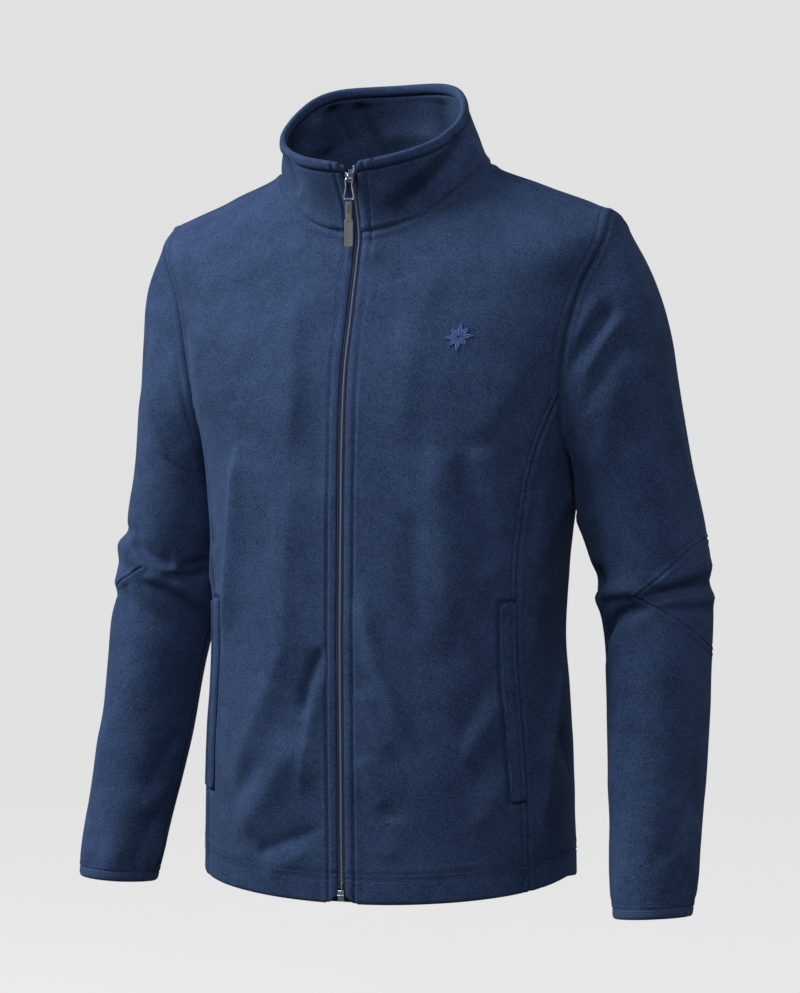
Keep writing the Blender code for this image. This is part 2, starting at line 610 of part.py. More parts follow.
def make_elbow_panel(side, material):
    """The lens that fills the opening in the sleeve, cut a seam's gap smaller all round."""
    angles = np.arange(ELBOW_FROM_DEG, ELBOW_TO_DEG + 1, ARMHOLE_STEP)
    half = elbow_half_height(angles)
    inset = np.where(half > 1e-9, SEAM_GAP, 0.0)
    along = ELBOW_ALONG[side] + ELBOW_ROWS[:, None] * (half - inset)
    seam = ELBOW_ALONG[side] + ELBOW_ROWS[:, None] * half
    moved = angles.copy()
    moved[0] += ELBOW_END_INSET
    moved[-1] -= ELBOW_END_INSET
    outer = sleeve_point(moved, along)
    inner = outer - FLEECE * sleeve_normal(np.broadcast_to(angles, seam.shape), seam)
    ids = np.arange(along.size).reshape(along.shape)
    ids[:, 0] = ids[0, 0]
    ids[:, -1] = ids[0, -1]
    cloth(f"elbow_{side}", mirrored(outer, side), mirrored(inner, side), material, grid_quads(ids))


def make_cuff(side, material):
    """The binding round the end of a sleeve, proud of the cloth inside and out."""
    seam = cuff_along(side, SLEEVE_ANGLES)
    along = seam + SEAM_GAP + CUFF_ROWS[:, None] * CUFF_HEIGHT
    proud = CUFF_RAISE * CUFF_PROUD[:, None, None]
    angle = np.broadcast_to(SLEEVE_ANGLES, along.shape)
    face = sleeve_point(angle, along)
    normal = sleeve_normal(angle, np.broadcast_to(seam, along.shape))
    outer = face + proud * normal
    inner = face - (FLEECE + proud) * normal
    ids = np.arange(along.size).reshape(along.shape)
    ids = np.column_stack([ids, ids[:, 0]])
    cloth(f"cuff_{side}", mirrored(outer, side), mirrored(inner, side), material, grid_quads(ids))


# ---------------------------------------------------------------- zip
def make_tape(side, material):
    """The zip's tape behind the edge of a front, made from that edge's own points."""
    degrees, up = panel_places(zip_edge_degrees, FRONT_SEAM, ARMHOLE_FRONT_SEAM)
    inner_edge = degrees_at_x(TAPE_INNER_EDGE, up[:, 0])
    degrees = np.column_stack([inner_edge, degrees[:, :TAPE_COLUMNS]])
    up = np.column_stack([up[:, 0], up[:, :TAPE_COLUMNS]])
    face = body_point(degrees, up)
    normal = body_normal(degrees, up)
    outer = face - (FLEECE + SEAM_GAP) * normal
    inner = outer - TAPE_WALL * normal
    cloth(f"zip_tape_{side}", mirrored(outer, side), mirrored(inner, side), material)


def make_coil(side, material):
    """A plain strip in place of one row of coils, from the box up to the slider."""
    rows = np.concatenate([middle_row_ups(), collar_ups()[1:]])
    rows = rows[(rows > COIL_UP[0] + COIL_ROW_CLEAR) & (rows < COIL_UP[1] - COIL_ROW_CLEAR)]
    up = np.concatenate([[COIL_UP[0]], rows, [COIL_UP[1]]])[:, None]
    degrees = np.column_stack([degrees_at_x(x, up[:, 0]) for x in COIL_EDGES])
    up = np.repeat(up, len(COIL_EDGES), axis=1)
    face = mirrored(body_point(degrees, up), side)
    normal = mirrored(body_normal(degrees, up), side)
    front_depth, back_depth = COIL_DEPTHS
    cloth(f"zip_coil_{side}", face - front_depth * normal, face - back_depth * normal, material)


def place_on_zip(piece, up):
    """Stand a piece on the zip: its +Z up along it, its -Y out of the cloth."""
    origin = body_point(0.0, up)
    rise = unit(body_point(0.0, up + 0.005) - body_point(0.0, up - 0.005))
    out = np.cross([1.0, 0.0, 0.0], rise)
    frame = Matrix((Vector((1, 0, 0)), Vector(-out), Vector(rise))).transposed().to_4x4()
    piece.matrix_world = Matrix.Translation(Vector(origin)) @ frame @ piece.matrix_world


def move_to(piece, group):
    for old_group in list(piece.users_collection):
        old_group.objects.unlink(piece)
    group.objects.link(piece)


def block(name, size, at, material, bevel=0.0, group=jacket):
    """A box of a given size with its middle at a place, its edges rounded by bevel."""
    bpy.ops.mesh.primitive_cube_add(size=1)
    piece = bpy.context.active_object
    piece.name = name
    piece.data.transform(Matrix.Translation(Vector(at)) @ Matrix.Diagonal((*size, 1.0)))
    piece.data.materials.append(material)
    move_to(piece, group)
    if bevel:
        rounding = piece.modifiers.new("Bevel", "BEVEL")
        rounding.width = bevel
        rounding.segments = 2
    return piece


def round_bar(name, radius, length, material):
    """A bar along X, to join to another piece or to bore it with."""
    bpy.ops.mesh.primitive_cylinder_add(vertices=20, radius=radius, depth=length, end_fill_type="NGON")
    bar = bpy.context.active_object
    bar.name = name
    bar.data.transform(Matrix.Rotation(math.pi / 2, 4, "Y"))
    bar.data.materials.append(material)
    move_to(bar, tool_shapes)
    return bar


def join(piece, other, operation="UNION"):
    """Join a tool shape to a piece, or take it away with the operation DIFFERENCE."""
    boolean = piece.modifiers.new(other.name, "BOOLEAN")
    boolean.operation = operation
    boolean.object = other
    boolean.solver = "EXACT"
    other.hide_render = True
    other.display_type = "WIRE"


def wire(name, points, radius, material, closed, group=jacket):
    """A round wire through points, with capped ends or closed into a ring."""
    curve = bpy.data.curves.new(name, "CURVE")
    curve.dimensions = "3D"
    curve.bevel_depth = radius
    curve.bevel_resolution = 2
    curve.use_fill_caps = True
    spline = curve.splines.new("POLY")
    spline.points.add(len(points) - 1)
    for spot, place in zip(spline.points, points):
        spot.co = (*place, 1.0)
    spline.use_cyclic_u = closed
    curve.materials.append(material)
    piece = bpy.data.objects.new(name, curve)
    group.objects.link(piece)
    return piece


def meshed(piece):
    """A curve object made a welded mesh object in its place."""
    bpy.context.view_layer.update()
    shape = piece.evaluated_get(bpy.context.evaluated_depsgraph_get())
    mesh = bpy.data.meshes.new_from_object(shape)
    solid = bmesh.new()
    solid.from_mesh(mesh)
    bmesh.ops.remove_doubles(solid, verts=solid.verts, dist=1e-6)
    solid.to_mesh(mesh)
    solid.free()
    made = bpy.data.objects.new(piece.name, mesh)
    made.matrix_world = piece.matrix_world
    group = piece.users_collection[0]
    bpy.data.objects.remove(piece, do_unlink=True)
    group.objects.link(made)
    return made


def make_zip_box(material):
    _, depth, height = BOX_SIZE
    box = block("zip_box", BOX_SIZE, (0, depth / 2 - BOX_PROUD, 0), material, BOX_BEVEL)
    place_on_zip(box, height / 2 + BOX_RAISE)


def make_slider(material):
    """Two plates on either side of the collar's edges, a post between them and a wire bridge."""
    front_y = -SLIDER_CLEAR_FRONT - SLIDER_PLATE[1] / 2
    back_y = COLLAR_WALL + SLIDER_CLEAR_BACK + SLIDER_BACK[1] / 2
    post_size = (POST_WIDTH, back_y - front_y, POST_WIDTH)
    post_at = (0, (front_y + back_y) / 2, POST_RAISE)
    slider = block("zip_slider", SLIDER_PLATE, (0, front_y, -SLIDER_PLATE_DROP), material, SLIDER_BEVEL)
    back = block("slider_back_plate", SLIDER_BACK, (0, back_y, 0), material, SLIDER_BEVEL, tool_shapes)
    post = block("slider_post", post_size, post_at, material, group=tool_shapes)
    root_y = front_y - SLIDER_PLATE[1] / 4
    arch = []
    for turn in np.radians(np.linspace(0, 180, 9)):
        arch.append((0.0, root_y - BRIDGE_REACH * math.sin(turn), BRIDGE_HALF_LENGTH * math.cos(turn)))
    bridge = meshed(wire("slider_bridge", arch, BRIDGE_WIRE, material, False, tool_shapes))
    for other in (back, post, bridge):
        join(slider, other)
    for piece in (slider, back, post, bridge):
        place_on_zip(piece, SLIDER_UP)


def loop_pivot():
    """The middle of the pull loop's top wire, under the slider's bridge."""
    rise = unit(body_point(0.0, SLIDER_UP + 0.005) - body_point(0.0, SLIDER_UP - 0.005))
    out = np.cross([1.0, 0.0, 0.0], rise)
    return body_point(0.0, SLIDER_UP) + PIVOT_OUT * out + PIVOT_RISE * rise


def make_pull_loop(material):
    """A closed wire loop that hangs from the bridge, wider at the bottom, its corners rounded."""
    top_x = LOOP_HALF_TOP - LOOP_CORNER
    bottom_x = LOOP_HALF_BOTTOM - LOOP_CORNER
    top_z = -LOOP_CORNER
    bottom_z = LOOP_CORNER - LOOP_DROP
    points = []
    centres = ((top_x, top_z), (bottom_x, bottom_z), (-bottom_x, bottom_z), (-top_x, top_z))
    for (x, z), start in zip(centres, (90, 0, -90, -180)):
        for turn in np.radians(np.linspace(start, start - 90, 4)):
            points.append((x + LOOP_CORNER * math.cos(turn), 0.0, z + LOOP_CORNER * math.sin(turn)))
    loop = wire("pull_loop", points, LOOP_WIRE, material, True)
    loop.location = Vector(loop_pivot())


def make_pull_tab(material):
    """The tab: an eye round the loop's bottom wire, a narrow neck and a wider grip."""
    neck_width, neck_length = TAB_NECK
    grip_width, grip_length = TAB_GRIP
    neck_top = -EYE_BORE - EYE_CLEAR
    neck_at = (0, 0, neck_top - neck_length / 2)
    grip_at = (0, 0, neck_top - neck_length + TAB_LAP - grip_length / 2)
    tab = block("pull_tab", (neck_width, TAB_WALL, neck_length), neck_at, material)
    grip = block("tab_grip", (grip_width, TAB_WALL, grip_length), grip_at, material, TAB_BEVEL, tool_shapes)
    eye = round_bar("tab_eye", EYE_RADIUS, EYE_LENGTH, material)
    bore = round_bar("tab_bore", EYE_BORE, 1.5 * EYE_LENGTH, material)
    join(tab, grip)
    join(tab, eye)
    join(tab, bore, "DIFFERENCE")
    centre = Vector(loop_pivot()) + Vector((0, 0, -LOOP_DROP))
    for piece in (tab, grip, eye, bore):
        piece.location = centre


fleece = paint("navy_fleece", NAVY, 0.95)
binding = paint("navy_binding", NAVY_BINDING, 0.7)
tape = paint("navy_tape", NAVY_BINDING, 0.8)
coil = paint("navy_nylon", COIL_NAVY, 0.4)
metal = paint("slider_metal", SLIDER_METAL, 0.35, 1.0)
taupe = paint("taupe_pull", PULL_TAUPE, 0.45)

make_back(fleece)
make_collar(fleece)
for side in ("left", "right"):
    make_front(side, fleece)
    make_side_panel(side, fleece)
    make_sleeve(side, fleece)
    make_elbow_panel(side, fleece)
    make_welt(side, fleece)
    make_cuff(side, binding)
    make_tape(side, tape)
    make_coil(side, coil)
make_zip_box(metal)
make_slider(metal)
make_pull_loop(metal)
make_pull_tab(taupe)
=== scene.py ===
import math

import bmesh
import bpy
import numpy as np
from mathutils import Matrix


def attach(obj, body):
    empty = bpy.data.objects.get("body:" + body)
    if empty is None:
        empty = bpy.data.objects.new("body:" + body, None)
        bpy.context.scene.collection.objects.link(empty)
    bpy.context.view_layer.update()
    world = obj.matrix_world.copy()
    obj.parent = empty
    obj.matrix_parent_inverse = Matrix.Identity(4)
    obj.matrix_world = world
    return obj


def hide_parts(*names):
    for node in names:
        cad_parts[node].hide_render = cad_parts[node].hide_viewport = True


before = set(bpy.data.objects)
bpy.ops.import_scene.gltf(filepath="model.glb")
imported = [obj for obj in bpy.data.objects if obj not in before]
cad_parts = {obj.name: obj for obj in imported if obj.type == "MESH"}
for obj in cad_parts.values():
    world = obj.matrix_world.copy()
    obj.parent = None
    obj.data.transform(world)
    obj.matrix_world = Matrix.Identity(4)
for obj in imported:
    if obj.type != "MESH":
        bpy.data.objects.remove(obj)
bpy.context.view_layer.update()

print("frame loaded:", len(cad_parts), "solids")

# The form is the solids' own, in metres: +Z up, the wearer faces -Y, the wearer's left is +X.
bodyRings = np.array([
    # up, half width, front, back, middle y, square, z at the side, z in front, z behind, bow, crown
    (0.000, 0.186, 0.1010, 0.1150, -0.0170, 2.30, -0.668, -0.692, -0.680, 1.3, 0.0),
    (0.120, 0.183, 0.1030, 0.1130, -0.0170, 2.35, -0.557, -0.576, -0.562, 1.3, 0.0),
    (0.240, 0.1753, 0.1060, 0.1090, -0.0160, 2.40, -0.440, -0.452, -0.442, 1.3, 0.0),
    (0.340, 0.1802, 0.1080, 0.1120, -0.0125, 2.45, -0.342, -0.350, -0.340, 1.4, 0.0),
    (0.420, 0.192, 0.1125, 0.1160, -0.0060, 2.45, -0.262, -0.268, -0.258, 1.4, 0.0),
    (0.500, 0.213, 0.1085, 0.1160, -0.0040, 2.40, -0.184, -0.200, -0.178, 1.4, 0.0),
    (0.575, 0.225, 0.0935, 0.1060, -0.0060, 2.35, -0.113, -0.148, -0.103, 1.4, 0.0),
    (0.635, 0.232, 0.0755, 0.0930, -0.0150, 2.20, -0.058, -0.113, -0.048, 1.4, 0.0),
    (0.695, 0.165, 0.0665, 0.0830, -0.0185, 2.10, -0.0268, -0.0905, -0.0160, 1.4, 0.0),
    (0.755, 0.107, 0.0595, 0.0780, -0.0220, 2.00, -0.001, -0.068, 0.010, 1.4, 0.0),
    (0.795, 0.097, 0.0585, 0.0700, -0.0300, 2.10, 0.020, -0.040, 0.047, 1.1, 0.5),
    (0.833, 0.0925, 0.0610, 0.0660, -0.0446, 2.25, 0.039, -0.005, 0.0815, 1.0, 1.1),
])
sleeveRings = np.array([
    # along, x, y, z, half side, half front
    (0.100, 0.2422, 0.0198, -0.3250, 0.0575, 0.0600),
    (0.130, 0.2496, 0.0215, -0.3550, 0.0560, 0.0590),
    (0.160, 0.2562, 0.0205, -0.3850, 0.0548, 0.0570),
    (0.195, 0.2612, 0.0182, -0.4200, 0.0520, 0.0545),
    (0.251, 0.2665, 0.0083, -0.4760, 0.0485, 0.0510),
    (0.320, 0.2708, -0.0047, -0.5455, 0.0460, 0.0485),
    (0.403, 0.2765, -0.0284, -0.6286, 0.0418, 0.0434),
    (0.440, 0.2790, -0.0386, -0.6657, 0.0402, 0.0416),
    (0.456, 0.2800, -0.0430, -0.6817, 0.0388, 0.0402),
    (0.472, 0.2810, -0.0474, -0.6978, 0.0354, 0.0368),
    (0.485, 0.2818, -0.0505, -0.7098, 0.0340, 0.0354),
])
elbowFolds = np.array([
    # degrees, along, lean, reach, width, depth
    (-20.0, 0.214, -0.00045, 70.0, 0.014, -0.0035),
    (-25.0, 0.180, -0.00010, 75.0, 0.013, 0.0030),
    (-60.0, 0.158, 0.00010, 50.0, 0.012, -0.0030),
    (75.0, 0.178, -0.00020, 60.0, 0.013, -0.0025),
    (15.0, 0.020, -0.00010, 45.0, 0.012, -0.0035),
])
frontSeam = np.array([(0.000, 61.5), (0.240, 59.5), (0.340, 58.5), (0.400, 60.0)])
backSeam = np.array([(0.000, 120.0), (0.240, 119.0), (0.400, 116.0)])
form = {
    "neckUp": 0.755,
    "collarTopUp": 0.833,
    "collarSway": 0.010,
    "shoulderDegrees": 88.0,
    "holeUp": 0.521,
    "holeHalfHeight": 0.119,
    "holeHalfFront": 26.5,
    "holeHalfBack": 29.0,
    "holeFrontSeam": -30.0,
    "holeBackSeam": 210.0,
    "capAlong": 0.100,
    "capLeave": (0.70, 0.12, 0.78),
    "capSmooth": 0.020,
    "elbowAlong": {"left": 0.188, "right": 0.164},
    "elbowHalfHeight": 0.047,
    "elbowDegrees": 225.0,
    "cuffAlong": {"left": 0.4725, "right": 0.466},
    "cuffTilt": 0.0077,
    "cuffHeight": 0.0068,
    "sleeveEnd": 0.485,
    "zipEdge": {"left": 0.0053, "right": 0.0050},
    "zipSpread": (0.030, 0.048, 0.0030),
}
wall = {
    "fleece": 0.0024,
    "hem": 0.0044,
    "hemHeight": 0.024,
    "hemStep": 0.002,
    "collar": 0.0046,
    "tape": 0.0006,
}


# ---- curves and surfaces
def hermite(t, start, leave, end, arrive):
    # The cubic from start to end with the slopes leave and arrive, for t from 0 to 1.
    return (
        (1 + 2 * t) * (1 - t) ** 2 * start
        + t * (1 - t) ** 2 * leave
        + t * t * (3 - 2 * t) * end
        + t * t * (t - 1) * arrive
    )


def smooth(at, knots, values):
    # The cubic curve through the values at the knots, its slopes taken from the neighbours.
    at = np.clip(np.asarray(at, float), knots[0], knots[-1])
    slopes = np.gradient(values, knots, axis=0)
    low = np.clip(np.searchsorted(knots, at, side="right") - 1, 0, len(knots) - 2)
    step = knots[low + 1] - knots[low]
    t = (at - knots[low]) / step
    if values.ndim > 1:
        t = t[..., None]
        step = step[..., None]
    return hermite(t, values[low], step * slopes[low], values[low + 1], step * slopes[low + 1])


def tableAt(table, at):
    return np.moveaxis(smooth(at, table[:, 0], table[:, 1:]), -1, 0)


def unit(vectors):
    return vectors / np.maximum(np.linalg.norm(vectors, axis=-1, keepdims=True), 1e-12)


def easeIn(t):
    # 3 t^2 - 2 t^3 between 0 and 1.
    t = np.clip(t, 0, 1)
    return t * t * (3 - 2 * t)


def bell(distance, width):
    # exp(-(distance / width)^2)
    return np.exp(-((distance / width) ** 2))


def wrapTurn(degrees):
    # The same direction, between -180 and 180.
    return (degrees + 180) % 360 - 180


def pair(across, along):
    return np.broadcast_arrays(np.asarray(across, float), np.asarray(along, float))


def squareReach(sin, cos, square):
    # How far out a rounded square of half-width 1 is: (|sin|^n + |cos|^n)^(-1/n).
    return (np.abs(sin) ** square + np.abs(cos) ** square) ** (-1 / square)


def normalOf(surface, across, along, step):
    side = surface(across + step[0], along) - surface(across - step[0], along)
    rise = surface(across, along + step[1]) - surface(across, along - step[1])
    return unit(np.cross(side, rise))


def bodyPoint(degrees, up):
    # A rounded outline |x/a|^n + |y/b|^n = 1 at each way up. Its height is bowed as |cos|^bow,
    # and lifted between the sides and the back by crown x cos^2 x (1 - |cos|).
    degrees, up = pair(degrees, up)
    halfWidth, front, back, middleY, square, zSide, zFront, zBack, bow, crown = tableAt(bodyRings, up)
    turn = np.radians(degrees)
    sin = np.sin(turn)
    cos = np.cos(turn)
    reach = squareReach(sin, cos, square)
    depth = np.where(cos > 0, front, back)
    lift = np.where(cos > 0, 0.0, crown * cos**2 * (1 - np.abs(cos)))
    z = zSide + (np.where(cos > 0, zFront, zBack) - zSide) * (np.abs(cos) ** bow + lift)
    rise = np.clip((up - form["neckUp"]) / (form["collarTopUp"] - form["neckUp"]), 0, 1)
    sway = form["collarSway"] * rise * (0.5 - 0.5 * cos) ** 2
    return np.stack([halfWidth * sin * reach - sway, middleY - depth * cos * reach, z], axis=-1)


def bodyNormal(degrees, up):
    return normalOf(bodyPoint, degrees, np.clip(up, 0.001, form["collarTopUp"] - 0.001), (0.2, 0.001))


def degreesAtX(x, up):
    return np.degrees(np.arcsin(x / tableAt(bodyRings, up)[0]))


def armhole(angle):
    # An oval on the body, wider behind: 0 at its front, 90 at the shoulder, -90 under the arm.
    turn = np.radians(angle)
    half = np.where(np.cos(turn) > 0, form["holeHalfFront"], form["holeHalfBack"])
    up = form["holeUp"] + form["holeHalfHeight"] * np.sin(turn)
    return form["shoulderDegrees"] - half * np.cos(turn), up


def seamDegrees(seam, holeAngle, up):
    degrees, top = armhole(holeAngle)
    return tableAt(np.vstack([seam, (top, degrees)]), up)[0]


def sleeveAxis(along):
    x, y, z, halfSide, halfFront = tableAt(sleeveRings, along)
    below = np.stack(tableAt(sleeveRings, along + 0.004)[:3], axis=-1)
    above = np.stack(tableAt(sleeveRings, along - 0.004)[:3], axis=-1)
    down = unit(below - above)
    side = unit(np.cross(np.broadcast_to([0.0, 1.0, 0.0], down.shape), -down))
    return np.stack([x, y, z], axis=-1), side, np.cross(side, -down), down, halfSide, halfFront


def tubePoint(angle, along):
    middle, side, front, _, halfSide, halfFront = sleeveAxis(along)
    turn = np.radians(angle)
    out = (halfSide * np.sin(turn))[..., None] * side
    return middle + out + (halfFront * np.cos(turn))[..., None] * front


def sleevePoint(angle, along):
    # A cubic cap from the armhole to the first ring of the tube, then the tube, plus soft folds.
    angle, along = pair(angle, along)
    cap = form["capAlong"]
    tube = tubePoint(angle, np.maximum(along, cap))
    first = tubePoint(angle, np.full_like(along, cap))
    down = sleeveAxis(np.full_like(along, cap))[3]
    start = bodyPoint(*armhole(angle))
    turn = np.radians(angle)
    out, forward, fall = form["capLeave"]
    leave = np.stack([out + 0 * turn, -forward * np.cos(turn), -fall + 0 * turn], axis=-1)
    reach = np.linalg.norm(first - start, axis=-1)[..., None]
    t = np.clip(along / cap, 0, 1)[..., None]
    curve = hermite(t, start, reach * unit(leave), first, reach * down)
    plain = np.where((along < cap)[..., None], curve, tube)
    outward = unit(plain - sleeveAxis(np.maximum(along, cap))[0])
    height = np.zeros(angle.shape)
    for degrees, place, lean, spread, width, depth in elbowFolds:
        away = wrapTurn(angle - degrees)
        fade = np.cos(np.clip(away / spread, -1, 1) * math.pi / 2) ** 2
        height = height + depth * fade * bell(along - place - lean * away, width)
    return plain + (height * np.clip(along / form["capSmooth"], 0, 1))[..., None] * outward


def sleeveNormal(angle, along):
    return -normalOf(sleevePoint, angle, np.clip(along, 0.0012, form["sleeveEnd"] - 0.0012), (0.5, 0.001))


def cuffSeam(side, angle):
    # Level all round on an arm that hangs a little forward.
    return form["cuffAlong"][side] - form["cuffTilt"] * (1 - np.cos(np.radians(angle)))


mirror = np.array([-1.0, 1.0, 1.0])
surfaces = {
    "body": (bodyPoint, bodyNormal),
    "left": (sleevePoint, sleeveNormal),
    "right": (
        lambda angle, along: sleevePoint(angle, along) * mirror,
        lambda angle, along: sleeveNormal(angle, along) * mirror,
    ),
}


def nearest(points, line):
    # Distance from each point to a chain of points, the side of it as a vector, and the index.
    tangent = unit(np.gradient(line, axis=0))
    half = 0.5 * np.linalg.norm(np.diff(line, axis=0), axis=1).max()
    index = np.empty(len(points), int)
    lengths = (line * line).sum(1)
    for start in range(0, len(points), 20000):
        part = points[start:start + 20000]
        index[start:start + 20000] = (lengths - 2 * part @ line.T).argmin(1)
    away = points - line[index]
    along = np.clip((away * tangent[index]).sum(1), -half, half)
    across = away - along[:, None] * tangent[index]
    return np.linalg.norm(across, axis=1), across, index


def softNoise(points, size, seed):
    # Smoothly blended random values, between -1 and 1, at the corners of a lattice of cubes.
    place = points / size + 100.0
    corner = np.floor(place).astype(np.int64)
    part = easeIn(place - corner)
    total = np.zeros(len(points))
    for dx in (0, 1):
        for dy in (0, 1):
            for dz in (0, 1):
                mix = (corner[:, 0] + dx) * 73856093 ^ (corner[:, 1] + dy) * 19349663
                mix = mix ^ (corner[:, 2] + dz) * 83492791 ^ seed * 2654435761
                mix = (mix ^ (mix >> 13)) * 1274126177 & 0xFFFFFFFF
                value = (mix ^ (mix >> 16) & 0xFFFF) % 65536 / 32768 - 1
                weight = np.abs(1 - np.array([dx, dy, dz]) - part).prod(1)
                total += value * weight
    return total


# ---- folds in the cloth
foldStrength = {"body": 1.9, "left": 1.15, "right": 1.15}
foldEnds = 0.24  # share of a fold's length over which each end fades
